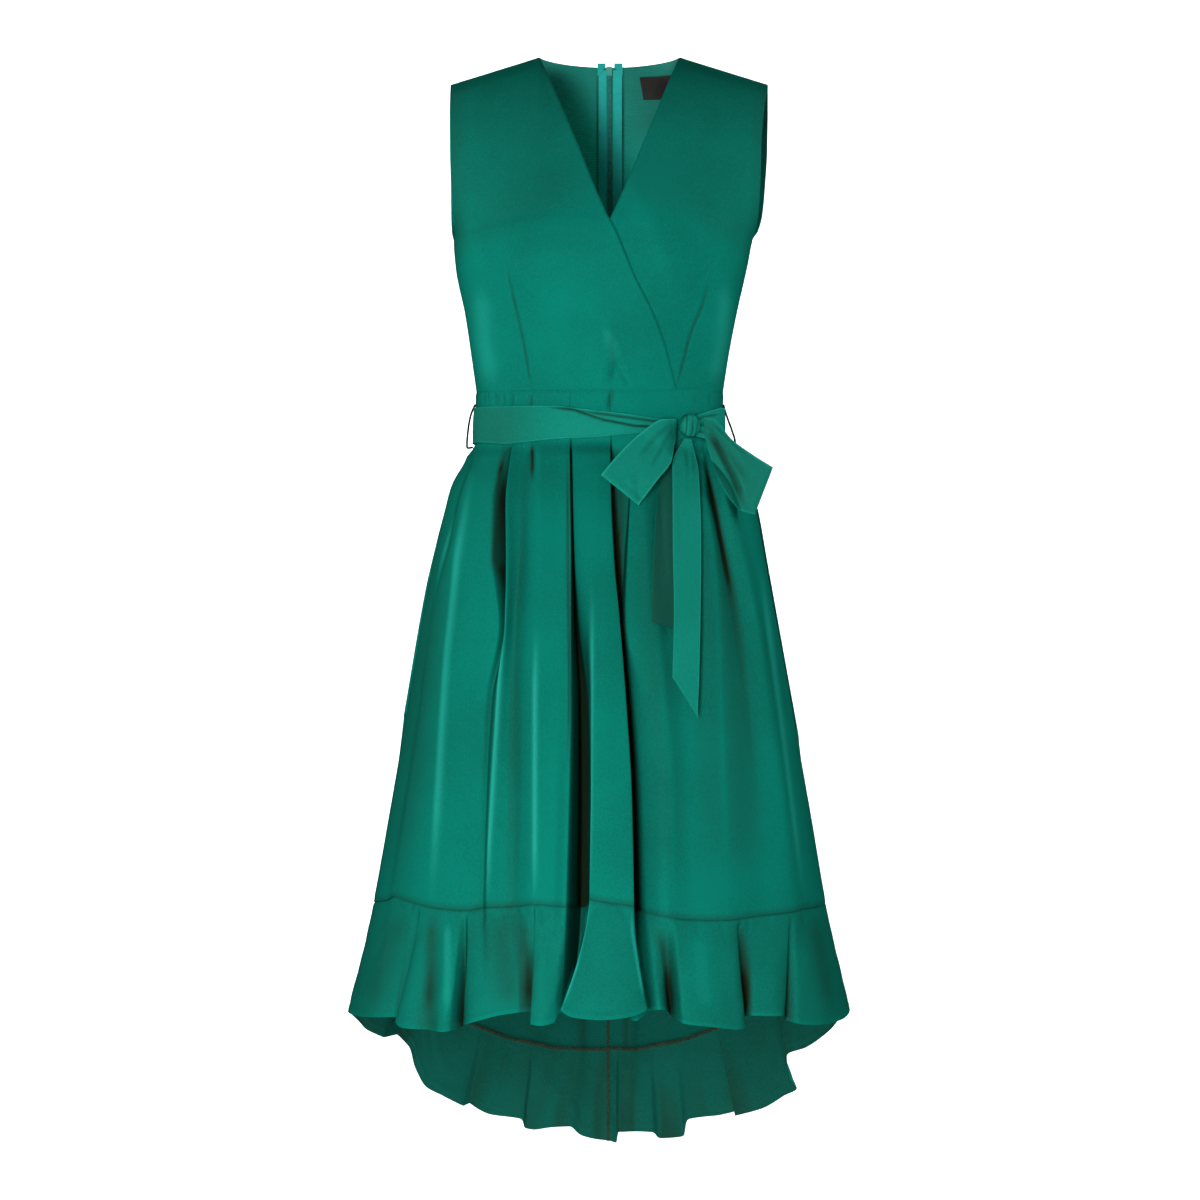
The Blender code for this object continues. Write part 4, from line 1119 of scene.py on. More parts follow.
    def back_point(self, x: Array, t: Array) -> Array:
        """Points of the back, outside. The top is the neck's curve between the shoulder seams.

        Args:
            x: Place across in metres.
            t: 0 at the shoulder seam, 1 at the waist seam.

        Returns:
            The points.
        """
        near = np.clip(np.abs(x) / self.neck_half, 0, 1)
        neck = self.neck_deep * (1 - near**ROUNDNESS) ** (1 / ROUNDNESS) * (1 - np.minimum(t / 0.6, 1))
        top = self.shoulder(x) - self.neck_drop * (1 - near**2)
        depth = self.depth(self.back_table, x, t)[0]
        return np.stack([x, (depth**3 + neck**3) ** (1 / 3), top * (1 - t) + self.waist * t], axis=-1)

    def edge(self, t: Array, column: int) -> Array:
        """The x of a front's free edge."""
        rows = np.array(self.edges)
        return smooth(rows[:, 0], rows[:, column], self.waist * t)

    def spaced(self, count: int, crowd: float) -> Array:
        """Shares from 0 to 1, closer together at both ends."""
        even = np.linspace(0, 1, count)
        return even - crowd * np.sin(2 * math.pi * even) / (2 * math.pi)

    def front_grid(self, over: bool) -> Array:
        """The grid of one front, with the step behind the front that laps over.

        Args:
            over: True for the front that laps over.

        Returns:
            The grid.
        """
        t = self.spaced(self.rows, 0.3)[:, None]
        share = self.spaced(self.columns, 0.6)[None, :]
        outer = self.read(self.front_table, t, 1 if over else 2)
        share = share if over else 1 - share
        x = outer + share * (self.edge(t, 1 if over else 2) - outer)
        grid = self.front_point(x, t + np.zeros_like(x))
        if not over:
            behind = np.clip((self.edge(t, 1) + self.lap_reach - x) / self.lap_ease, 0, 1)
            grid[..., 1] += self.lap_step * behind**2 * (3 - 2 * behind)
        creases = self.over_creases if over else self.under_creases
        sink = pressed(creases, grid[..., 0], grid[..., 2])
        rim = np.abs(x - self.edge(t, 1 if over else 2))
        sink = sink - 0.0002 * np.exp(-((rim / 0.006) ** 4)) + 0.0008 * np.exp(-((rim / 0.0012) ** 2))
        calm = np.clip(np.abs(x - outer) / self.seam_calm, 0, 1)
        grid = grid - facing(grid) * (sink * calm)[..., None]
        grid[0, :, 1] = np.minimum(grid[0, :, 1], -GAP / 2)
        seam = 0 if over else -1
        grid[:, seam, 1] = np.minimum(grid[:, seam, 1], -GAP / 2)
        return grid

    def back_grid(self, wearer_left: bool) -> Array:
        """The grid of one back, with a dart down to the waist.

        Args:
            wearer_left: True for the wearer's left.

        Returns:
            The grid.
        """
        t = self.spaced(self.rows, 0.3)[:, None]
        share = self.spaced(self.columns, 0.5)[None, :]
        outer = self.read(self.back_table, t, 2 if wearer_left else 1)
        middle = GAP / 2 if wearer_left else -GAP / 2
        x = outer + (share if wearer_left else 1 - share) * (middle - outer)
        grid = self.back_point(x, t + np.zeros_like(x))
        way = 1 if wearer_left else -1
        creases = (
            Crease(((way * 92, -236), (way * 88, -300), (way * 76, -376)), 1.5, 1.3),
            Crease(((way * 60, -120), (way * 52, -240), (way * 45, -360)), 16.0, 1.4),
            Crease(((way * 118, -200), (way * 108, -290), (way * 100, -370)), 13.0, -1.6),
            Crease(((way * 30, -250), (way * 27, -330), (way * 30, -372)), 8.0, -1.2),
        )
        calm = np.clip(np.abs(x - outer) / self.seam_calm, 0, 1)
        sink = pressed(creases, grid[..., 0], grid[..., 2]) * calm
        sink = sink + self.centre_groove * np.exp(-((np.abs(x) / self.groove_half) ** 2))
        grid = grid - facing(grid) * sink[..., None]
        seam = 0 if wearer_left else -1
        grid[0, :, 1] = np.maximum(grid[0, :, 1], GAP / 2)
        grid[:, seam, 1] = np.maximum(grid[:, seam, 1], GAP / 2)
        return grid

    def shade(self, grid: Array, seams: tuple) -> Array:
        """Painted shade for each point: in a fold, along the thin groove of a sewn dart and the zip tapes'
        edges, above the chest's curve, at the outer edges and high on the backs; painted highlights along
        given lines on the fronts.

        Args:
            grid: The wall's points.
            seams: Sewn lines of (x, z) in mm, along which shade is painted.

        Returns:
            From -1, painted highlight, to 1, painted shade.
        """
        groove = sum(Crease(seam, 1.3, 1.0).press(grid[..., 0], grid[..., 2]) for seam in seams) / MM
        x, y, z = grid[..., 0], grid[..., 1], grid[..., 2]
        # Painted shade on the backs, growing toward the neck: from lower down toward +x, only near the top
        # toward -x. It shows on both faces.
        rise = 0.75 * np.clip((z + 0.20) / 0.13, 0, 1) * np.clip(0.5 + x / 0.10, 0, 1)
        rise = (rise + 0.6 * np.clip((z + 0.10) / 0.07, 0, 1) * np.clip(0.5 - x / 0.10, 0, 1)) * (y > 0)
        # Painted shade on the fronts above the chest's curve.
        curve = smooth(*np.array(self.chest).T * MM, x)
        above = np.clip((z - curve) / 0.040, 0, 1)
        chest = 0.17 * above**2 * (3 - 2 * above) * (y < 0)
        # Painted shade at the outer edges above the curve: the shoulder tips and armholes.
        tip = 0.22 * np.clip((np.abs(x) - 0.155) / 0.022, 0, 1) * above
        # Painted highlights on the fronts along the highlight lines.
        glow = pressed(self.painted_highlight_lines, x, z) / MM * (y < 0)
        return np.clip(0.5 * painted_shading(grid) + 0.55 * groove + rise + chest + tip + glow, -1, 1)

    def build(self, wardrobe: Wardrobe) -> None:
        """All four panels.

        Args:
            wardrobe: The finishes.
        """
        panels = (
            ("front_right_cloth", self.front_grid(True), "bodice_front_right", "bodice_back_right",
             (self.over_creases[0].line,)),
            ("front_left_cloth", self.front_grid(False), "bodice_front_left", "bodice_back_left",
             (self.under_creases[0].line,)),
            ("back_left_cloth", self.back_grid(True), "bodice_back_left", "bodice_front_left",
             (((92, -236), (88, -300), (76, -376)), self.tape_edges[1])),
            ("back_right_cloth", self.back_grid(False), "bodice_back_right", "bodice_front_right",
             (((-92, -236), (-88, -300), (-76, -376)), self.tape_edges[0])),
        )
        for name, grid, node, beside, seams in panels:
            Sheet(name, grid, (node,), (beside,), materials=("face", "lining_painted_lighter"),
                  depth=self.shade(grid, seams)).build(wardrobe)


BODICE = Bodice()


# ---------------------------------------------------------------- skirt and flounce


@dataclass(frozen=True)
class FoldLine:
    """A ridge, valley or lip that runs down the cloth.

    It holds its x and how far it stands out at each of the skirt's stations, and the height of the
    flounce's seam under it, all in mm.
    """

    name: str
    x: tuple
    stand: tuple
    seam: float


@dataclass(frozen=True)
class HemLine:
    """A line of the flounce: where it leaves the skirt, then its x, stand and z at the hem, in mm."""

    start: float
    x: float
    stand: float
    z: float
    flare: float = 1.15


def ripple(u: Array, v: Array, height: float, seed: int) -> Array:
    """A slight unevenness of hand-hung cloth: a few long waves with seeded phases.

    Args:
        u: Place across the cloth.
        v: Place down the cloth.
        height: The waves' height in metres.
        seed: Seed of the phases.

    Returns:
        Heights in metres.
    """
    rng = np.random.default_rng(seed)
    total = np.zeros(np.broadcast(u, v).shape)
    for _ in range(7):
        along, across, phase = rng.uniform(3, 11), rng.uniform(9, 34), rng.uniform(0, 2 * math.pi)
        total = total + np.sin(across * u + along * v + phase)
    return height * total / 7


def columns_between(angles: Array, stands: Array, z: Array, step: float, least: int) -> Array:
    """Places along the lines' index, so that columns lie about a step apart where the cloth is longest.

    Args:
        angles: Angle of each line, a row of the table for each height.
        stands: How far each line stands out.
        z: Height of each line.
        step: Wanted spacing in metres.
        least: Fewest columns between two lines.

    Returns:
        The places, from 0 to the last line's index.
    """
    points = FORM.stand_off(angles, z, stands)
    length = np.linalg.norm(np.diff(points, axis=1), axis=-1).max(axis=0)
    places = [0.0]
    for k, metres in enumerate(length):
        count = max(least, int(math.ceil(metres / step)))
        places += list(k + np.arange(1, count + 1) / count)
    return np.array(places)


@dataclass
class Skirt:
    """The skirt's front with its pleats and the strip that stands out at the centre, and its two backs.

    Stations are the heights, in mm, at which the front's lines are set down. The back's valleys hold x,
    half width and depth at their own stations.
    """

    waist: float = -0.3760
    hip: float = -0.507
    side_seam: float = -0.946
    back_seam: float = -1.133
    rows: int = 104
    step: float = 0.0026
    edge_dip: float = 0.0011
    edge_reach: float = 0.0016
    sash_edge: float = -0.449
    sash_ease: float = 0.018
    held_stand: float = 0.0004
    stations: tuple = (-376, -432, -498, -564, -630, -716, -824, -936)
    front_lines: tuple = (
        FoldLine("side_valley_right", (-147, -152, -173, -186, -200, -212, -229, -246),
                 (0, -1, -3, -3, -2, -1, -1, 0), -938),
        FoldLine("side_ridge_right", (-143, -145, -163, -179, -197, -204, -219, -235),
                 (0, 1, 3, 3, 2, 2, 2, 2), -933),
        FoldLine("ridge_1", (-132, -134, -151, -170, -174, -176, -180, -183), (1, 3, 5, 6, 6, 6, 5, 5), -942),
        FoldLine("slope_1", (-121, -118, -135, -141, -143, -151, -155, -157), (1, 3, 7, 7, 4, 2, 1, 1), -943),
        FoldLine("pleat_1_lip", (-112, -110, -125, -125, -120, -137, -141, -144),
                 (1, 3, 8, 9, 4, -1, -2, -2), -941),
        FoldLine("pleat_1_bottom", (-109, -108, -117, -117, -116, -131, -136, -139),
                 (0, -3, -13, -14, -8, -6, -5, -4), -940),
        FoldLine("ridge_2", (-105, -106, -111, -110, -111, -119, -126, -130), (1, 3, 6, 7, 7, 5, 4, 3), -939),
        FoldLine("valley_2", (-89, -89, -97, -100, -104, -106, -105, -107),
                 (0, -4, -3, -4, -4, -4, -4, -4), -938),
        FoldLine("ridge_3", (-76, -76, -73, -74, -76, -78, -79, -80), (1, 3, 4, 5, 5, 5, 5, 5), -935),
        FoldLine("plate_3", (-59, -59, -58, -56, -56, -57, -59, -62), (1, 3, 4, 5, 5, 5, 5, 5), -936),
        FoldLine("gap_right_lip", (-45, -44, -43, -42, -42, -42, -44, -47),
                 (1, 4, 6, 8, 9, 10, 10, 10), -937),
        FoldLine("gap_right_bottom", (-44, -43, -41, -40, -38, -32, -31, -32),
                 (0, -6, -9, -13, -20, -28, -36, -40), -940),
        FoldLine("strip_flank", (-42, -41, -40, -38, -33, -23, -21, -22),
                 (1, 3, 3, 3, -2, -14, -20, -24), -934),
        FoldLine("strip_edge_right", (-22, -22, -17, -17, -17, -19, -20, -22),
                 (2, 5, 9, 11, 13, 15, 18, 20), -928),
        FoldLine("strip_middle", (-11, -11, -7, -5, -2, -1, 1, 0), (2, 5, 10, 12, 15, 18, 21, 23), -932),
        FoldLine("strip_edge_left", (-1, 0, 1, 4, 10, 16, 22, 24), (2, 5, 9, 11, 14, 17, 20, 22), -936),
        FoldLine("gap_left_bottom", (0, 3, 4, 7, 11, 19, 25, 27), (0, -6, -9, -11, -13, -18, -22, -26), -944),
        FoldLine("recess_panel", (18, 23, 21, 16, 13, 23, 30, 33), (0, -4, -6, -8, -11, -14, -18, -20), -943),
        FoldLine("ply_left_lip", (20, 25, 22, 19, 17, 34, 41, 43), (1, 3, 5, 6, 5, -3, -7, -8), -945),
        FoldLine("ridge_4", (33, 33, 35, 38, 44, 57, 63, 63), (2, 4, 6, 7, 7, 5, 4, 4), -949),
        FoldLine("valley_4", (60, 60, 64, 68, 74, 80, 87, 88), (0, -2, -4, -4, -4, -2, -1, 0), -952),
        FoldLine("ridge_5", (97, 99, 102, 109, 114, 117, 122, 126), (1, 3, 5, 6, 6, 4, 3, 3), -953),
        FoldLine("pleat_5_bottom", (103, 106, 118, 131, 142, 152, 162, 166),
                 (0, -3, -7, -8, -5, -3, -2, -1), -950),
        FoldLine("ridge_6", (111, 115, 127, 144, 158, 171, 186, 196), (1, 3, 5, 5, 5, 5, 5, 4), -948),
        FoldLine("side_slope_left", (121, 126, 144, 160, 172, 187, 201, 219), (0, 1, 1, 1, 1, 1, 1, 1), -946),
    )
    back_stations: tuple = (-434, -540, -690, -880, -1100, -1240)
    back_valleys: tuple = (
        ((133, 165, 188, 212, 224, 214), (6, 8, 10, 11, 10, 9), (4, 5, 6, 7, 8, 13)),
        ((106, 129, 150, 165, 172, 162), (6, 9, 14, 16, 13, 10), (6, 8, 7, 6, 5, 16)),
        ((77, 92, 104, 113, 116, 104), (6, 8, 11, 13, 11, 9), (6, 9, 6, 4, 3, 15)),
        ((46, 55, 62, 66, 66, 56), (6, 8, 12, 14, 12, 9), (6, 8, 7, 6, 5, 16)),
        ((16, 19, 22, 24, 24, 21), (5, 6, 7, 8, 7, 7), (5, 6, 6, 6, 6, 13)),
        ((-22, -27, -31, -34, -36, -38), (5, 6, 8, 9, 8, 8), (5, 6, 7, 7, 7, 15)),
        ((-54, -65, -74, -82, -88, -96), (6, 8, 12, 14, 12, 9), (6, 8, 7, 6, 5, 16)),
        ((-84, -103, -118, -131, -140, -150), (6, 8, 11, 13, 11, 9), (6, 9, 6, 4, 3, 15)),
        ((-113, -140, -164, -184, -197, -206), (6, 9, 14, 16, 13, 10), (6, 8, 7, 6, 5, 16)),
        ((-144, -178, -206, -232, -246, -254), (6, 8, 10, 11, 10, 9), (4, 5, 6, 7, 8, 12)),
    )
    gathers: tuple = (
        Crease(((-140, -377), (-139, -388)), 1.5, 0.8), Crease(((-136, -377), (-135, -386)), 1.4, 0.7),
        Crease(((-127, -377), (-125, -394)), 1.6, 0.9), Crease(((-123, -378), (-123, -391)), 1.4, 0.7),
        Crease(((-118, -377), (-116, -394)), 1.6, 0.8), Crease(((-107, -377), (-108, -396)), 2.2, 0.9),
        Crease(((-87, -380), (-87, -396)), 2.0, 1.2), Crease(((6, -376), (1, -384), (-1, -398)), 2.6, 1.5),
        Crease(((96, -380), (94, -392)), 2.6, 0.6), Crease(((112, -378), (111, -392)), 2.2, 0.6),
        Crease(((-87, -436), (-86, -452), (-85, -470)), 3.0, 1.6),
        Crease(((-109, -434), (-113, -450), (-119, -470)), 1.8, 1.6),
    )
    # Ridges raised in the cloth, which also carry painted highlights.
    ridges: tuple = (
        Crease(((-110, -600), (-115, -640), (-121, -749), (-129, -875), (-131, -936)), 2.6, -1.3),
        Crease(((-79, -640), (-80, -699), (-80, -820), (-80, -932)), 2.6, -1.4),
        Crease(((-19, -600), (-20, -716), (-21, -824), (-23, -928)), 2.4, -1.2),
        Crease(((-150, -470), (-163, -560), (-174, -665), (-187, -875), (-190, -930)), 4.4, -0.8),
        Crease(((-172, -510), (-190, -570), (-203, -650)), 2.6, -0.5),
        Crease(((101, -470), (110, -560), (118, -680), (126, -900)), 3.4, -0.5),
        Crease(((45, -500), (52, -640), (66, -800), (70, -940)), 4.0, -0.4),
        Crease(((166, -560), (182, -700), (204, -880), (212, -938)), 4.2, -0.4),
    )
    # Lines of painted shade only; they shape nothing.
    shadows: tuple = (
        Crease(((-114, -430), (-121, -490), (-123, -564), (-115, -608)), 2.7, 0.75),
        Crease(((-46, -434), (-45, -560), (-43, -700), (-44, -800)), 1.6, 0.7),
        Crease(((-87, -434), (-85, -480)), 2.0, 0.6),
        Crease(((2, -434), (6, -520), (14, -620), (24, -760), (27, -930)), 2.4, 0.8),
        Crease(((107, -450), (119, -500), (131, -564), (138, -600)), 2.2, 0.7),
        Crease(((66, -452), (74, -520), (76, -600)), 5.0, 0.4),
        Crease(((104, -470), (128, -600), (140, -760), (146, -936)), 24.0, 0.30),
        Crease(((-186, -540), (-214, -760), (-236, -936)), 22.0, 0.26),
        Crease(((34, -470), (48, -640), (58, -800), (66, -936)), 20.0, 0.22),
        Crease(((78, -480), (96, -640), (104, -800), (108, -936)), 14.0, 0.16),
    )

    def seam(self, angle: Array) -> Array:
        """The height of the flounce's seam behind."""
        return self.side_seam + (self.back_seam - self.side_seam) * np.abs(np.sin(angle)) ** 1.5

    def front_curves(self) -> tuple[Array, Array, Array]:
        """Angle, stand and height of every line of the front, a row for each height.

        Returns:
            The three tables.
        """
        down = self.downs()[:, None]
        seams = np.array([self.side_seam / MM] + [line.seam for line in self.front_lines]
                         + [self.side_seam / MM]) * MM
        z = np.where(down <= 1, self.waist + down * (self.hip - self.waist),
                     self.hip + (down - 1) * (seams[None, :] - self.hip))
        angle, stand = np.zeros_like(z), np.zeros_like(z)
        angle[:, 0], angle[:, -1] = -math.pi, 0.0
        for k, line in enumerate(self.front_lines, start=1):
            x = smooth(self.stations, line.x, z[:, k] / MM) * MM
            angle[:, k] = FORM.angle(x, z[:, k], Side.FRONT)
            stand[:, k] = smooth(self.stations, line.stand, z[:, k] / MM) * MM
        return angle, stand, z

    def downs(self) -> Array:
        """Rows down the skirt: 0 at the waist, 1 at the hip, 2 at the flounce's seam."""
        share = np.linspace(0, 1, self.rows)
        return 2 * (share - 0.08 * np.sin(2 * math.pi * share) / (2 * math.pi))

    def back_curves(self) -> tuple[Array, Array, Array]:
        """Angle, stand and height of every line of the back: each valley, its shoulders and its crests.

        Returns:
            The three tables.
        """
        down = self.downs()
        places, stands = [], []
        z = np.where(down <= 1, self.waist + down * (self.hip - self.waist), self.hip)
        low = -1.100
        z = np.where(down > 1, self.hip + (down - 1) * (low - self.hip), z)
        for x, half, depth in self.back_valleys:
            middle, width, deep = (smooth(self.back_stations, v, z / MM) * MM for v in (x, half, depth))
            calm = np.clip((self.waist - z) / 0.030, 0.25, 1)
            places += [middle + 1.5 * width, middle, middle - 1.5 * width]
            stands += [0.0026 * calm, 0.003 - deep * calm, 0.0026 * calm]
        filled, heights = [], []
        for k, place in enumerate(places):
            if k and k % 3 == 0:
                filled.append((places[k - 1] + place) / 2)
                heights.append(0.0036 + 0 * place)
            filled.append(place)
            heights.append(stands[k] + 0 * place)
        angle = np.array([FORM.angle(x, z, Side.BACK) for x in filled]).T
        angle = np.concatenate([np.zeros((len(z), 1)), angle, np.full((len(z), 1), math.pi)], axis=1)
        stand = np.array(heights).T
        stand = np.concatenate([np.zeros((len(z), 1)), stand, np.zeros((len(z), 1))], axis=1)
        upper = np.where(down <= 1, self.waist + down * (self.hip - self.waist), self.hip)[:, None]
        height = upper + np.clip(down - 1, 0, 1)[:, None] * (self.seam(angle) - upper)
        return angle, stand, height

    def laid(self, curves: tuple, places: Array) -> tuple[Array, Array, Array]:
        """The curves read at places along the lines' index."""
        index = np.arange(curves[0].shape[1])
        return tuple(np.array([smooth(index, row, places) for row in curve]) for curve in curves)

    def under_sash(self, z: Array) -> Array:
        """1 where the sash holds the cloth to the body, up to the waist's seam, and 0 below it."""
        below = np.clip((z - self.sash_edge) / self.sash_ease, 0, 1)
        return below**2 * (3 - 2 * below)

    def stand_at(self, x: Array, z: Array) -> Array:
        """How far the left part of the front, from the strip to the side, stands out at these places.

        Args:
            x: Place across in metres.
            z: Height in metres.

        Returns:
            Distances in metres.
        """
        lines = self.front_lines[-8:]
        z = z + np.zeros_like(x)
        total = np.zeros_like(x)
        for index in np.ndindex(x.shape):
            places = [smooth(self.stations, line.x, z[index] / MM) for line in lines]
            stands = [smooth(self.stations, line.stand, z[index] / MM) for line in lines]
            total[index] = np.interp(x[index] / MM, places, stands) * MM
        return total * (1 - self.under_sash(z))

    def front_grid(self) -> tuple[Array, Array, tuple, Array]:
        """The front's points, its columns' places, its lowest row as angle, stand and z, and its painted
        shade and highlights.

        Returns:
            All four.
        """
        curves = self.front_curves()
        places = columns_between(*curves, self.step, 6)
        angle, stand, z = self.laid(curves, places)
        down = self.downs()[:, None]
        stand = stand + ripple(places[None, :] / 9, down, 0.0004, 5)
        x = FORM.ring(angle, z)[0]
        stand = stand + (np.minimum(stand * 0.1, self.held_stand) - stand) * self.under_sash(z)
        stand = stand - pressed(self.gathers, x, z) - pressed(self.ridges, x, z)
        edge = np.exp(-((np.abs(z - z[:1]) / self.edge_reach) ** 2))
        stand, z = stand - self.edge_dip * edge, z + self.edge_reach * edge
        low = np.abs(z - z[-1:])
        stand = stand + 0.0007 * np.exp(-((low / 0.004) ** 4)) - 0.0012 * np.exp(-((low / 0.0010) ** 2))
        grid = FORM.stand_off(angle, z, stand)
        grid[:, [0, -1], 1] = -GAP / 2
        # Painted shade in the valleys, along the seam at the bottom, the gathers and the shadow lines;
        # painted highlights along the ridges.
        shade = valley_depth(grid, stand, 0.026, 0.015, 1.0, 0.005) + 0.40 * np.exp(-((low / 0.0011) ** 2))
        shade = shade + (0.25 * pressed(self.gathers, x, z) + pressed(self.shadows, x, z)) / MM
        shade = shade + 0.34 * pressed(self.ridges, x, z) / MM
        return grid, places, (angle[-1], stand[-1], z[-1]), np.clip(shade, -1, 1)

    def back_grid(self) -> tuple[Array, Array, tuple]:
        """The back's points, its columns' places, and its lowest row.

        Returns:
            All three.
        """
        curves = self.back_curves()
        places = columns_between(*curves, self.step * 1.6, 3)
        angle, stand, z = self.laid(curves, places)
        stand = stand + ripple(places[None, :] / 9, self.downs()[:, None], 0.0005, 11)
        stand = stand + (np.minimum(stand, self.held_stand) - stand) * self.under_sash(z)
        edge = np.exp(-((np.abs(z - z[:1]) / self.edge_reach) ** 2))
        stand, z = stand - self.edge_dip * edge, z + self.edge_reach * edge
        stand = stand - 0.0010 * np.exp(-((np.abs(z - z[-1:]) / 0.0012) ** 2))
        grid = FORM.stand_off(angle, z, stand)
        grid[:, [0, -1], 1] = GAP / 2
        return grid, places, (angle[-1], stand[-1], z[-1])

    def build(self, wardrobe: Wardrobe) -> dict:
        """The three panels.

        Args:
            wardrobe: The finishes.

        Returns:
            What the flounce hangs from: each side's column places and lowest row.
        """
        front, front_places, front_low, shade = self.front_grid()
        Sheet("skirt_front_cloth", front, ("skirt_front",), ("bodice_front_right", "bodice_front_left"),
              held="gathered", depth=shade).build(wardrobe)
        back, back_places, back_low = self.back_grid()
        left, right = part_at_middle(back)
        Sheet("skirt_back_left_cloth", left, ("skirt_back_left",), ("bodice_back_left",),
              held="gathered").build(wardrobe)
        Sheet("skirt_back_right_cloth", right, ("skirt_back_right",), ("bodice_back_right",),
              held="gathered").build(wardrobe)
        return {Side.FRONT: (front_places, front_low), Side.BACK: (back_places, back_low)}


def part_at_middle(grid: Array) -> tuple[Array, Array]:
    """The back's grid parted along its centre seam, +X side first.

    Args:
        grid: The wall's points.

    Returns:
        Both halves.
    """
    cut = int(np.median(np.abs(grid[:, :, 0]).argmin(axis=1)))
    left, right = grid[:, : cut + 1].copy(), grid[:, cut:].copy()
    for half, edge, shift in ((left, -1, GAP / 2), (right, 0, -GAP / 2)):
        half[:, edge, 0] = shift
        beside = np.abs(half[..., 0]) < 0.012
        half[..., 1] -= np.where(beside, 0.0012 * np.exp(-((half[..., 0] / 0.0022) ** 2)), 0)
    return left, right


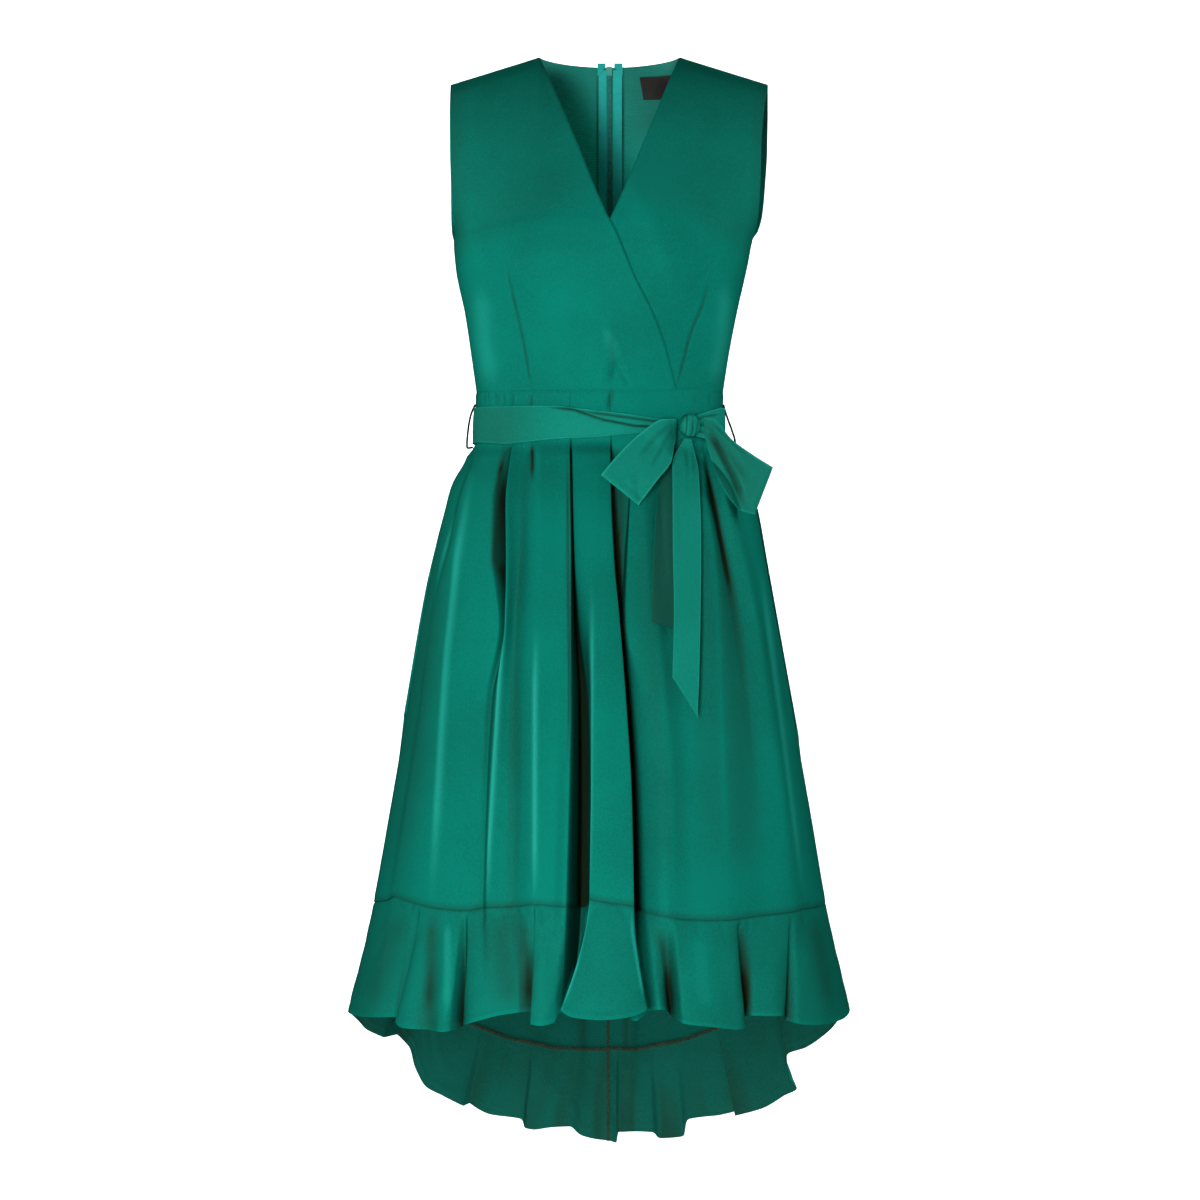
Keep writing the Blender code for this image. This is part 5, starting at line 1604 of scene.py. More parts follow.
@dataclass
class Flounce:
    """The flounce on the hem: it leaves the skirt's lowest row and falls in its own waves.

    A front line starts at a place along the skirt's lines, and a back line at an x of the seam in mm.
    """

    rows: int = 44
    step: float = 0.0026
    hem_ply: float = 0.0004
    hem_turn: float = 0.007
    hem_stitch: float = 0.0085
    stitch_half: float = 0.0012
    front_hem: tuple = (
        HemLine(0.0, -292, 0, -1066), HemLine(1.0, -277, 2, -1066), HemLine(1.8, -256, 3, -1064),
        HemLine(2.50, -236, -4, -1062), HemLine(2.60, -224, -13, -1062), HemLine(2.66, -228, 5, -1064),
        HemLine(2.80, -214, 14, -1071), HemLine(3.05, -192, 6, -1072), HemLine(3.45, -177, 12, -1073),
        HemLine(3.80, -169, 7, -1072), HemLine(4.05, -165, -16, -1068), HemLine(4.30, -158, -2, -1066),
        HemLine(5.6, -139, 3, -1060), HemLine(7.55, -117, -2, -1054), HemLine(8.6, -95, -10, -1051),
        HemLine(8.98, -84, -17, -1050), HemLine(9.04, -85, 4, -1062), HemLine(9.4, -73, 9, -1064),
        HemLine(10.4, -60, 4, -1061), HemLine(11.0, -54, -4, -1052), HemLine(12.0, -42, -36, -1052),
        HemLine(13.0, -46, -16, -1048, 1.5), HemLine(14.0, -52, 16, -1046, 1.6),
        HemLine(14.35, -41, 24, -1053, 1.5), HemLine(15.0, -10, 30, -1056, 1.2),
        HemLine(15.6, 21, 26, -1053, 1.5), HemLine(16.0, 39, 17, -1046, 1.7),
        HemLine(17.0, 14, -22, -1058), HemLine(17.6, 29, -9, -1060), HemLine(18.3, 43, -13, -1050),
        HemLine(18.9, 54, -4, -1048), HemLine(19.4, 63, -9, -1050), HemLine(19.85, 70, -20, -1056),
        HemLine(20.3, 77, 6, -1062), HemLine(21.2, 104, 11, -1066), HemLine(22.0, 134, 8, -1070),
        HemLine(22.2, 146, 0, -1069), HemLine(22.35, 149, -17, -1058), HemLine(22.7, 158, -3, -1057),
        HemLine(23.3, 176, 3, -1058), HemLine(23.85, 190, -2, -1059), HemLine(23.95, 197, -10, -1064),
        HemLine(24.1, 203, 3, -1068), HemLine(24.8, 226, 6, -1071), HemLine(25.4, 250, 3, -1070),
        HemLine(26.0, 268, 0, -1062),
    )
    back_hem: tuple = (
        HemLine(243, 268, 0, -1062), HemLine(236, 262, 2, -1078), HemLine(222, 248, 4, -1100),
        HemLine(205, 226, 2, -1122), HemLine(193, 207, -3, -1134), HemLine(186, 207, 3, -1160),
        HemLine(178, 211, 8, -1172), HemLine(165, 199, 4, -1182), HemLine(148, 176, 3, -1198),
        HemLine(128, 150, -8, -1207), HemLine(125, 149, 6, -1202), HemLine(112, 128, 2, -1208),
        HemLine(84, 93, -2, -1214), HemLine(76, 84, 10, -1235), HemLine(55, 58, 12, -1238),
        HemLine(47, 50, 2, -1230), HemLine(28, 28, -2, -1229), HemLine(12, 12, -8, -1229),
        HemLine(8, 8, 8, -1243), HemLine(0, 0, 8, -1241), HemLine(-8, -8, 8, -1240),
        HemLine(-30, -33, 6, -1234), HemLine(-42, -47, -3, -1223), HemLine(-62, -68, -2, -1224),
        HemLine(-78, -86, 4, -1227), HemLine(-88, -97, 6, -1225), HemLine(-93, -103, -3, -1214),
        HemLine(-125, -140, 0, -1207), HemLine(-148, -165, -7, -1193), HemLine(-151, -167, 6, -1197),
        HemLine(-170, -190, 6, -1184), HemLine(-184, -208, 8, -1172), HemLine(-194, -220, 6, -1150),
        HemLine(-206, -232, -2, -1124), HemLine(-220, -251, -9, -1107), HemLine(-223, -253, 6, -1111),
        HemLine(-238, -271, 5, -1100), HemLine(-251, -284, 2, -1085), HemLine(-266, -292, 0, -1066),
    )
    front_gathers: tuple = (
        Crease(((-128, -941), (-122, -954)), 2.4, 1.6), Crease(((-117, -940), (-112, -953)), 2.2, 1.4),
        Crease(((-104, -939), (-96, -951)), 2.2, 1.5), Crease(((-94, -938), (-87, -948)), 2.0, 1.3),
        Crease(((-136, -943), (-139, -958)), 2.2, 1.2), Crease(((-66, -937), (-68, -952)), 2.0, 1.2),
        Crease(((-74, -937), (-73, -955)), 1.8, 1.6), Crease(((-12, -931), (-20, -948)), 3.0, 0.9),
        Crease(((8, -934), (16, -950)), 3.0, 0.9), Crease(((96, -954), (92, -972)), 2.6, 1.0),
        Crease(((118, -954), (122, -970)), 2.4, 1.1), Crease(((142, -953), (139, -966)), 2.0, 1.3),
        Crease(((150, -952), (151, -968)), 1.8, 1.2), Crease(((176, -951), (172, -962)), 2.2, 1.0),
        Crease(((-212, -934), (-216, -950)), 2.6, 1.2), Crease(((-176, -944), (-172, -958)), 2.4, 1.0),
        Crease(((-230, -934), (-226, -946)), 2.4, 0.8), Crease(((208, -950), (212, -962)), 2.4, 0.9),
    )

    # Stripes of painted shade, and painted highlights where the depth is below nought; they shape nothing.
    shadows: tuple = (
        Crease(((-192, -944), (-194, -1000), (-196, -1060)), 7.0, 0.42),
        Crease(((-94, -942), (-88, -1000), (-87, -1050)), 6.0, 0.36),
        Crease(((-226, -944), (-246, -1000), (-262, -1060)), 16.0, 0.28),
        Crease(((-120, -944), (-112, -1000), (-108, -1050)), 18.0, 0.30),
        Crease(((50, -958), (62, -1000), (66, -1052)), 7.0, 0.42),
        Crease(((138, -953), (146, -1000), (148, -1056)), 6.0, 0.40),
        Crease(((222, -950), (232, -1000), (242, -1062)), 9.0, 0.28),
        Crease(((-21, -926), (-28, -964), (-36, -1000), (-44, -1023), (-52, -1048)), 2.0, -0.75),
        Crease(((23, -936), (24, -964), (30, -1000), (37, -1040)), 2.0, -0.45),
        Crease(((-176, -946), (-175, -1000), (-176, -1062)), 6.0, -0.30),
        Crease(((96, -960), (98, -1000), (104, -1056)), 14.0, -0.18),
    )

    def grid(self, side: Side, hung_from: tuple) -> tuple[Array, Array]:
        """The points of the whole front or back, and their painted shade and highlights.

        Args:
            side: Front or back.
            hung_from: The skirt's column places and its lowest row.

        Returns:
            The grid, its first row on the seam, and the painted shade and highlights of each point.
        """
        places, (angle, stand, z) = hung_from
        lines = self.front_hem if side is Side.FRONT else self.back_hem
        starts = np.array([line.start for line in lines], float)
        if side is Side.BACK:
            seam_x = FORM.ring(angle, z)[0] / MM
            starts = np.interp(-starts, -seam_x, places)
            starts[0], starts[-1] = places[0], places[-1]
        hem_z = np.array([line.z for line in lines]) * MM
        hem_x = np.array([line.x for line in lines]) * MM
        hem_angle = FORM.angle(hem_x, hem_z, side)
        hem_angle[0], hem_angle[-1] = (-math.pi, 0.0) if side is Side.FRONT else (0.0, math.pi)
        hem_stand = np.array([line.stand for line in lines]) * MM
        flare = np.array([line.flare for line in lines])
        top = [np.interp(starts, places, row) for row in (angle, stand, z)]
        columns = columns_between(np.array([top[0], hem_angle]), np.array([top[1], hem_stand]),
                                  np.array([top[2], hem_z]), self.step, 6)
        index = np.arange(len(lines))
        start = np.interp(columns, index, starts)
        first = [np.interp(start, places, row) for row in (angle, stand, z)]
        last = [smooth(index, row, columns) for row in (hem_angle, hem_stand, hem_z)]
        power = smooth(index, flare, columns)
        t = np.linspace(0, 1, self.rows)[:, None]
        turned = first[0] + (last[0] - first[0]) * t**power
        height = first[2] + (last[2] - first[2]) * t
        out = first[1] + (last[1] - first[1]) * (1 - (1 - t) ** 1.35)
        out = out + ripple(columns[None, :] / 6, 3 * t, 0.0005, 23) * np.minimum(t * 4, 1)
        fallen = np.abs(height - first[2])
        out = out - self.stitch_half * np.exp(-((fallen / self.stitch_half) ** 2))
        left = np.abs(height - last[2])
        out = out + self.hem_ply * np.exp(-((left / self.hem_turn) ** 6))
        out = out - self.hem_ply * np.exp(-(((left - self.hem_stitch) / self.stitch_half) ** 2))
        if side is Side.FRONT:
            out = out - pressed(self.front_gathers, FORM.ring(turned, height)[0], height)
        made = FORM.stand_off(turned, height, out)
        made[:, [0, -1], 1] = -GAP / 2 if side is Side.FRONT else GAP / 2
        # Painted shade: a little all over, more in the valleys and further down, in stripes in front, in the
        # inside's folds behind and along the seam; painted highlights in front along the strip's edge and
        # just above the hem.
        shade = 0.12 + valley_depth(made, out, 0.028, 0.018, 0.9, 0.001) * np.minimum(0.35 + t, 1)
        if side is Side.FRONT:
            shade = shade + pressed(self.shadows, made[..., 0], height) / MM
            shade = shade - 0.32 * np.exp(-(((left - 0.0014) / 0.0014) ** 2))
        else:
            shade = np.maximum(shade, 1.2 * valley_depth(made, -out, 0.034, 0.022, 0.9, 0.001))
        return made, np.clip(shade + 0.35 * np.exp(-((fallen / 0.0011) ** 2)), -1, 1)

    def build(self, wardrobe: Wardrobe, hung_from: dict) -> Array:
        """The three panels.

        Args:
            wardrobe: The finishes.
            hung_from: The skirt's column places and lowest row, by side.

        Returns:
            The back's grid, along whose seam the overlock stitches run.
        """
        front, shade = self.grid(Side.FRONT, hung_from[Side.FRONT])
        Sheet("flounce_front_cloth", front, ("flounce_front",), ("skirt_front",), held="gathered",
              depth=shade).build(wardrobe)
        back, shade = self.grid(Side.BACK, hung_from[Side.BACK])
        left, right = part_at_middle(back)
        cut = left.shape[1]
        Sheet("flounce_back_left_cloth", left, ("flounce_back_left",), ("skirt_back_left",),
              held="gathered", depth=shade[:, :cut]).build(wardrobe)
        Sheet("flounce_back_right_cloth", right, ("flounce_back_right",), ("skirt_back_right",),
              held="gathered", depth=shade[:, cut - 1:]).build(wardrobe)
        return back


# ---------------------------------------------------------------- sash and bow


def edge_at(edge: tuple, share: Array) -> tuple[Array, Array]:
    """The x and z on a line through an edge's points, by share of its length.

    Args:
        edge: The edge's (x, z) in mm.
        share: Share of its length.

    Returns:
        The x and the z in metres.
    """
    points = np.array(edge, float) * MM
    length = np.concatenate([[0], np.cumsum(np.hypot(*np.diff(points, axis=0).T))])
    where = length / length[-1]
    return smooth(where, points[:, 0], share), smooth(where, points[:, 1], share)


@dataclass
class Sash:
    """The band round the waist, which the knot gathers in front.

    The front table holds x, and the z of the band's top and bottom.
    """

    top: float = -0.3940
    bottom: float = -0.4335
    front_table: tuple = (
        (-0.160, -0.3935, -0.4325), (-0.142, -0.3935, -0.4325), (-0.112, -0.3936, -0.4355),
        (-0.058, -0.3938, -0.4300), (-0.016, -0.3992, -0.4285), (0.020, -0.4030, -0.4250),
        (0.051, -0.4080, -0.4215), (0.077, -0.4100, -0.4205), (0.096, -0.4030, -0.4270),
        (0.121, -0.3940, -0.4325), (0.140, -0.3940, -0.4325),
    )
    knot_x: float = 0.0830
    room: float = 0.0115
    stand: float = 0.0026
    rows: int = 54
    columns: int = 310
    creases: tuple = (
        Crease(((-76, -394), (-40, -398), (-8, -409), (28, -416), (72, -418)), 1.3, 1.3),
        Crease(((-36, -399), (8, -405), (52, -411), (74, -412)), 1.4, 1.0),
        Crease(((-40, -428), (4, -425), (46, -420)), 2.6, 0.3),
        Crease(((-146, -400), (-122, -401), (-92, -400)), 2.0, 0.14),
        Crease(((-146, -410), (-118, -412), (-96, -410)), 2.4, 0.16),
        Crease(((-144, -424), (-120, -426), (-88, -425)), 2.2, 0.14),
        Crease(((90, -411), (104, -405), (122, -402)), 1.6, 0.8),
        Crease(((91, -416), (106, -414), (124, -413)), 1.6, 0.8),
        Crease(((91, -421), (105, -423), (120, -425)), 1.6, 0.6),
    )
    back_creases: tuple = (
        Crease(((-120, -402), (-60, -404), (-10, -401)), 1.8, 0.4),
        Crease(((20, -412), (70, -409), (118, -413)), 2.2, 0.45),
        Crease(((-96, -423), (-40, -421), (30, -425)), 2.0, 0.4),
    )

    def shade(self, grid: Array) -> Array:
        """Painted shade in the band's folds in front and toward the wearer's right side, with painted
        highlights along its edges.
        """
        folds = pressed(self.creases[:2] + self.creases[-3:], grid[..., 0], grid[..., 2]) * (grid[..., 1] < 0)
        painted_side_shade = np.clip((-0.065 - grid[..., 0]) / 0.06, 0, 1) * 0.42
        return np.clip(painted_edge_highlights(0.65 * folds / MM + painted_side_shade, 0, 0.25), -1, 1)

    def grid(self) -> Array:
        """The band's points, from one side of the knot round the back to its other side.

        Returns:
            The grid.
        """
        start = float(FORM.angle(self.knot_x + self.room, self.top, Side.FRONT))
        end = float(FORM.angle(self.knot_x - self.room, self.top, Side.FRONT)) + 2 * math.pi
        angle = np.linspace(start, end, self.columns)[None, :]
        angle = np.arctan2(np.sin(angle), np.cos(angle))
        table = np.array(self.front_table)
        x = FORM.ring(angle, self.top)[0]
        ahead = angle < 0
        high = np.where(ahead, np.interp(x, table[:, 0], table[:, 1]), self.top)
        low = np.where(ahead, np.interp(x, table[:, 0], table[:, 2]), self.bottom)
        share = np.linspace(0, 1, self.rows)[:, None]
        z = high + share * (low - high)
        swell = 0.0009 * np.sin(math.pi * share) + ripple(5 * angle, 2 * share, 0.0004, 31)
        sink = np.where(ahead, pressed(self.creases, x + 0 * z, z), pressed(self.back_creases, x + 0 * z, z))
        edge = np.minimum(z - low, high - z)
        sink = sink - 0.0005 * np.exp(-((edge / 0.0014) ** 2))
        return FORM.stand_off(angle, z, self.stand + swell - sink)

    def build(self, wardrobe: Wardrobe) -> None:
        """The band."""
        grid = self.grid()
        Sheet("sash_band_cloth", grid, ("sash_band",), ("skirt_front", "bow_knot"), held="stretched",
              materials=("sash", "sash"), depth=self.shade(grid)).build(wardrobe)


@dataclass
class Knot:
    """The knot: a lump of cloth wrapped three times from top to bottom."""

    x: float = 0.0830
    z: float = -0.4155
    half_width: float = 0.0118
    half_height: float = 0.0128
    deep: float = 0.0165
    square: float = 0.72
    wraps: tuple = ((-0.62, 0.20), (0.02, 0.20), (0.60, 0.20))

    def build(self, wardrobe: Wardrobe) -> Piece:
        """A ball pressed into the knot's shape, with a crease between its wraps.

        Args:
            wardrobe: The finishes.

        Returns:
            The knot.
        """
        angle = FORM.angle(self.x, self.z, Side.FRONT)
        x, y = FORM.ring(angle, self.z)
        out_x, out_y = FORM.outward(angle, self.z)
        out = np.array([out_x, out_y, 0.0])
        across = np.array([-out_y, out_x, 0.0])
        centre = np.array([x, y, self.z]) + out * (0.0016 + self.deep / 2)
        deselect()
        bpy.ops.mesh.primitive_uv_sphere_add(segments=72, ring_count=48, radius=1)
        piece = bpy.context.object
        places = np.empty(len(piece.data.vertices) * 3)
        piece.data.vertices.foreach_get("co", places)
        places = places.reshape(-1, 3)
        turn = np.arctan2(places[:, 1], places[:, 0])
        wide = np.hypot(places[:, 0], places[:, 1]) ** self.square
        side = np.sign(np.cos(turn)) * np.abs(np.cos(turn)) ** self.square
        front = np.sign(np.sin(turn)) * np.abs(np.sin(turn)) ** self.square
        dent = np.zeros(len(places))
        for place, width in self.wraps:
            lean = side * wide - place - 0.10 * places[:, 2]
            dent += np.exp(-((lean / (width * 0.45)) ** 2))
        crease = 1 - 0.13 * np.clip(dent, 0, 1) * (front > -0.2)
        pinch = 1 - 0.16 * places[:, 2] ** 2
        made = (centre + across * (self.half_width * wide * side * pinch)[:, None]
                + out * (self.deep / 2 * wide * front * crease)[:, None]
                + np.array([0, 0, 1]) * (self.half_height * places[:, 2])[:, None])
        piece.data.vertices.foreach_set("co", made.astype(np.float32).ravel())
        # Painted shade in the creases between the wraps, on the front half.
        write_attribute(piece.data, "painted_shading", np.clip(dent, 0, 1) ** 2 * 0.6 * (front > 0))
        piece.data.update()
        activate(piece)
        bpy.ops.object.mode_set(mode="EDIT")
        bpy.ops.mesh.select_all(action="SELECT")
        bpy.ops.mesh.normals_make_consistent(inside=False)
        bpy.ops.object.mode_set(mode="OBJECT")
        piece.data.materials.append(wardrobe["sash"])
        settle(piece, "knot_cloth")
        piece.data.shade_smooth()
        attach(piece, BODY)
        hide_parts("bow_knot")
        return piece


@dataclass
class BowLoop:
    """A loop of the bow: one ply runs out from the knot, turns at the tip and comes back behind."""

    name: str
    node: str
    upper: tuple
    lower: tuple
    way: int
    tip_y: float
    creases: tuple
    knot_y: float = -0.0870
    root: float = 0.0040
    puff: float = 0.0150
    full: float = 0.9
    clear: float = 0.0085
    # Painted shade over the whole loop.
    painted_shade_base: float = 0.0
    columns: int = 150
    rows: int = 46

    def grid(self) -> Array:
        """The ply's points, from the knot out in front and back behind.

        Returns:
            The grid.
        """
        share = np.linspace(0, 2, self.columns)[None, :]
        out = np.where(share < 1, share, 2 - share)
        round_tip = 1 - np.clip((1 - out) / 0.07, 0, 1)
        side = np.where(share < 1, -1, 1) * np.sqrt(np.clip(1 - round_tip**2, 0, 1))
        side = np.where(out < 0.93, np.where(share < 1, -1.0, 1.0), side)
        down = np.linspace(0, 1, self.rows)[:, None]
        high_x, high_z = edge_at(self.upper, out)
        low_x, low_z = edge_at(self.lower, out)
        x = high_x + down * (low_x - high_x)
        z = high_z + down * (low_z - high_z)
        puff = self.root + (self.puff - self.root) * np.sin(math.pi * np.minimum(out, self.full) ** 0.8)
        body = FORM.ring(FORM.angle(x, z, Side.FRONT), z)[1]
        rest = body - self.clear * np.minimum(out / 0.3, 1) - puff / 2
        y = np.minimum(self.knot_y + (self.tip_y - self.knot_y) * out, rest)
        bow = 0.0022 * np.sin(math.pi * down) * np.sin(math.pi * np.clip(out, 0, 1))
        y = y + side * puff / 2 - bow * np.where(share < 1, 1, -0.4)
        sink = pressed(self.creases, x, z)
        y = y + np.where(share < 1, sink, 0.5 * sink)
        edge = np.minimum(down, 1 - down) * np.hypot(low_x - high_x, low_z - high_z)
        y = y - 0.0006 * np.exp(-((edge / 0.0018) ** 2)) * np.sign(-side)
        made = np.stack([x, y, z], axis=-1)
        return made if self.way > 0 else made[:, ::-1]

    def shade(self, grid: Array) -> Array:
        """Painted shade in the loop's folds and over the whole loop, with painted highlights along its edges.
        """
        folds = sum(crease.press(grid[..., 0], grid[..., 2]) for crease in self.creases if crease.depth > 0)
        return np.clip(painted_edge_highlights(0.13 * folds / MM + self.painted_shade_base, 0, 0.30), -1, 1)

    def build(self, wardrobe: Wardrobe) -> None:
        """The loop."""
        grid = self.grid()
        Sheet(self.name, grid, (self.node,), ("bow_knot",), held="folded", materials=("sash", "sash"),
              depth=self.shade(grid)).build(wardrobe)


@dataclass
class SashEnd:
    """A free end of the sash. The cloth under it sets how far it stands out."""

    name: str
    node: str
    left: tuple
    right: tuple
    stand: float
    seed: int
    creases: tuple
    follow: float = 0.0
    # Painted shade over the whole end.
    shade: float = 0.0
    clear: float = 0.0034
    swell: float = 0.0008
    rows: int = 150
    columns: int = 22

    def grid(self, skirt: Skirt) -> Array:
        """The end's points, from under the knot to its slanting cut.

        Args:
            skirt: The skirt under it.

        Returns:
            The grid.
        """
        down = np.linspace(0, 1, self.rows)[:, None]
        across = np.linspace(0, 1, self.columns)[None, :]
        left_x, left_z = edge_at(self.left, down)
        right_x, right_z = edge_at(self.right, down)
        x = left_x + across * (right_x - left_x)
        z = left_z + across * (right_z - left_z)
        under = self.follow * skirt.stand_at(x, z)
        stand = np.maximum(self.stand, under + self.clear)
        uneven = ripple(across * 0.12, down * 2.2, 0.0006, self.seed)
        stand = stand + self.swell * np.sin(math.pi * across) + uneven
        edge = np.minimum(across, 1 - across) * np.abs(right_x - left_x)
        stand = stand + 0.0004 * np.exp(-((edge / 0.0012) ** 2)) - pressed(self.creases, x, z)
        return FORM.over_front(x, z, stand)

    def build(self, wardrobe: Wardrobe, skirt: Skirt) -> None:
        """The end."""
        grid = self.grid(skirt)
        # Painted shade over the whole end, and painted highlights along its long edges.
        Sheet(self.name, grid, (self.node,), ("skirt_front", "bow_knot"), materials=("sash", "sash"),
              depth=painted_edge_highlights(np.full(grid.shape[:2], self.shade), 1, 0.25, 1)).build(wardrobe)


BOW_LOOPS = (
    BowLoop("bow_loop_right_cloth", "bow_loop_right",
            ((74, -408), (59, -409), (36, -423), (9, -449), (-10, -472)),
            ((74, -424), (71, -438), (68, -455), (52, -477), (31, -505)), -1, -0.147,
            (Crease(((70, -414), (52, -426), (30, -452)), 2.6, 1.6),
             Crease(((71, -420), (58, -438), (44, -462)), 2.2, 1.4),
             Crease(((20, -470), (28, -486)), 5.0, -0.8))),
    BowLoop("bow_loop_left_cloth", "bow_loop_left",
            ((104, -407), (115, -409), (135, -431), (157, -447), (181, -462)),
            ((104, -424), (110, -445), (122, -479), (145, -509), (161, -514)), 1, -0.088,
            (Crease(((106, -417), (120, -440), (136, -470), (150, -504)), 3.6, 3.4),
             Crease(((107, -411), (126, -429), (150, -452)), 2.8, -1.5),
             Crease(((112, -424), (132, -447), (156, -478)), 5.0, 1.2)), painted_shade_base=0.30),
)
SASH_ENDS = (
    SashEnd("tail_back_cloth", "tail_back", ((78, -430), (52, -498), (47, -570), (45, -631)),
            ((87, -430), (83, -498), (78, -570), (76, -642)), 0.0022, 3,
            (Crease(((60, -470), (56, -540), (55, -620)), 4.0, 0.8),), follow=1.0, shade=0.62),
    SashEnd("tail_front_cloth", "tail_front", ((82, -430), (69, -459), (69, -541), (70, -617), (68, -692)),
            ((90, -430), (98, -468), (100, -541), (99, -617), (97, -692), (95, -735)), 0.0112, 8,
            (Crease(((86, -432), (87, -462), (86, -500)), 2.6, 1.4),
             Crease(((77, -440), (75, -490), (78, -560)), 2.2, 0.8),
             Crease(((93, -450), (94, -500)), 2.2, 0.7),
             Crease(((72, -688), (96, -728)), 0.8, 0.5)), follow=0.0),
)


# ---------------------------------------------------------------- thread loops


@dataclass
class Strand:
    """A round thread or bar along a list of points."""

    name: str
    points: Array
    radius: float
    finish: str
    slot: Slot
    nodes: tuple = ()
    sides: int = 4

    def build(self, wardrobe: Wardrobe) -> Piece:
        """A curve with a round section, turned into a mesh.

        Args:
            wardrobe: The finishes.

        Returns:
            The finished piece.
        """
        deselect()
        bpy.ops.curve.primitive_nurbs_path_add()
        piece = bpy.context.object
        curve = piece.data
        curve.splines.clear()
        spline = curve.splines.new("POLY")
        spline.points.add(len(self.points) - 1)
        for point, place in zip(spline.points, self.points):
            point.co = (*map(float, place), 1.0)
        curve.bevel_depth = self.radius
        curve.bevel_resolution = self.sides
        curve.use_fill_caps = True
        activate(piece)
        bpy.ops.object.convert(target="MESH")
        piece = bpy.context.object
        piece.data.materials.append(wardrobe[self.finish])
        settle(piece, self.name)
        piece.data.shade_smooth()
        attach(piece, BODY)
        if self.nodes:
            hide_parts(*self.nodes)
        return piece


@dataclass
class ThreadLoops:
    """The two thread loops at the side seams that carry the sash."""

    radius: float = 0.0012
    places: tuple = (0.0, 0.12, 0.28, 0.50, 0.72, 0.84, 0.94, 1.0)
    heights: tuple = (-0.3890, -0.3940, -0.4030, -0.4170, -0.4310, -0.4365, -0.4378, -0.4370)
    reaches: dict = field(default_factory=lambda: {
        "left": (0.0010, 0.0035, 0.0065, 0.0085, 0.0092, 0.0086, 0.0060, 0.0016),
        "right": (0.0008, 0.0022, 0.0052, 0.0105, 0.0145, 0.0130, 0.0060, 0.0012)})

    def build(self, wardrobe: Wardrobe) -> None:
        """Both loops.

        Args:
            wardrobe: The finishes.
        """
        for node, way, side in (("belt_loop_right", -1, "left"), ("belt_loop_left", 1, "right")):
            share = np.linspace(0, 1, 48)
            z = smooth(self.places, self.heights, share)
            out = smooth(self.places, self.reaches[side], share)
            x = way * (np.abs(FORM.size(z, side)) + out)
            Strand(f"{node}_thread", np.stack([x, 0 * x, z], axis=-1), self.radius, "loop", Slot.THREAD,
                   (node,)).build(wardrobe)


# ---------------------------------------------------------------- zip, label and seams


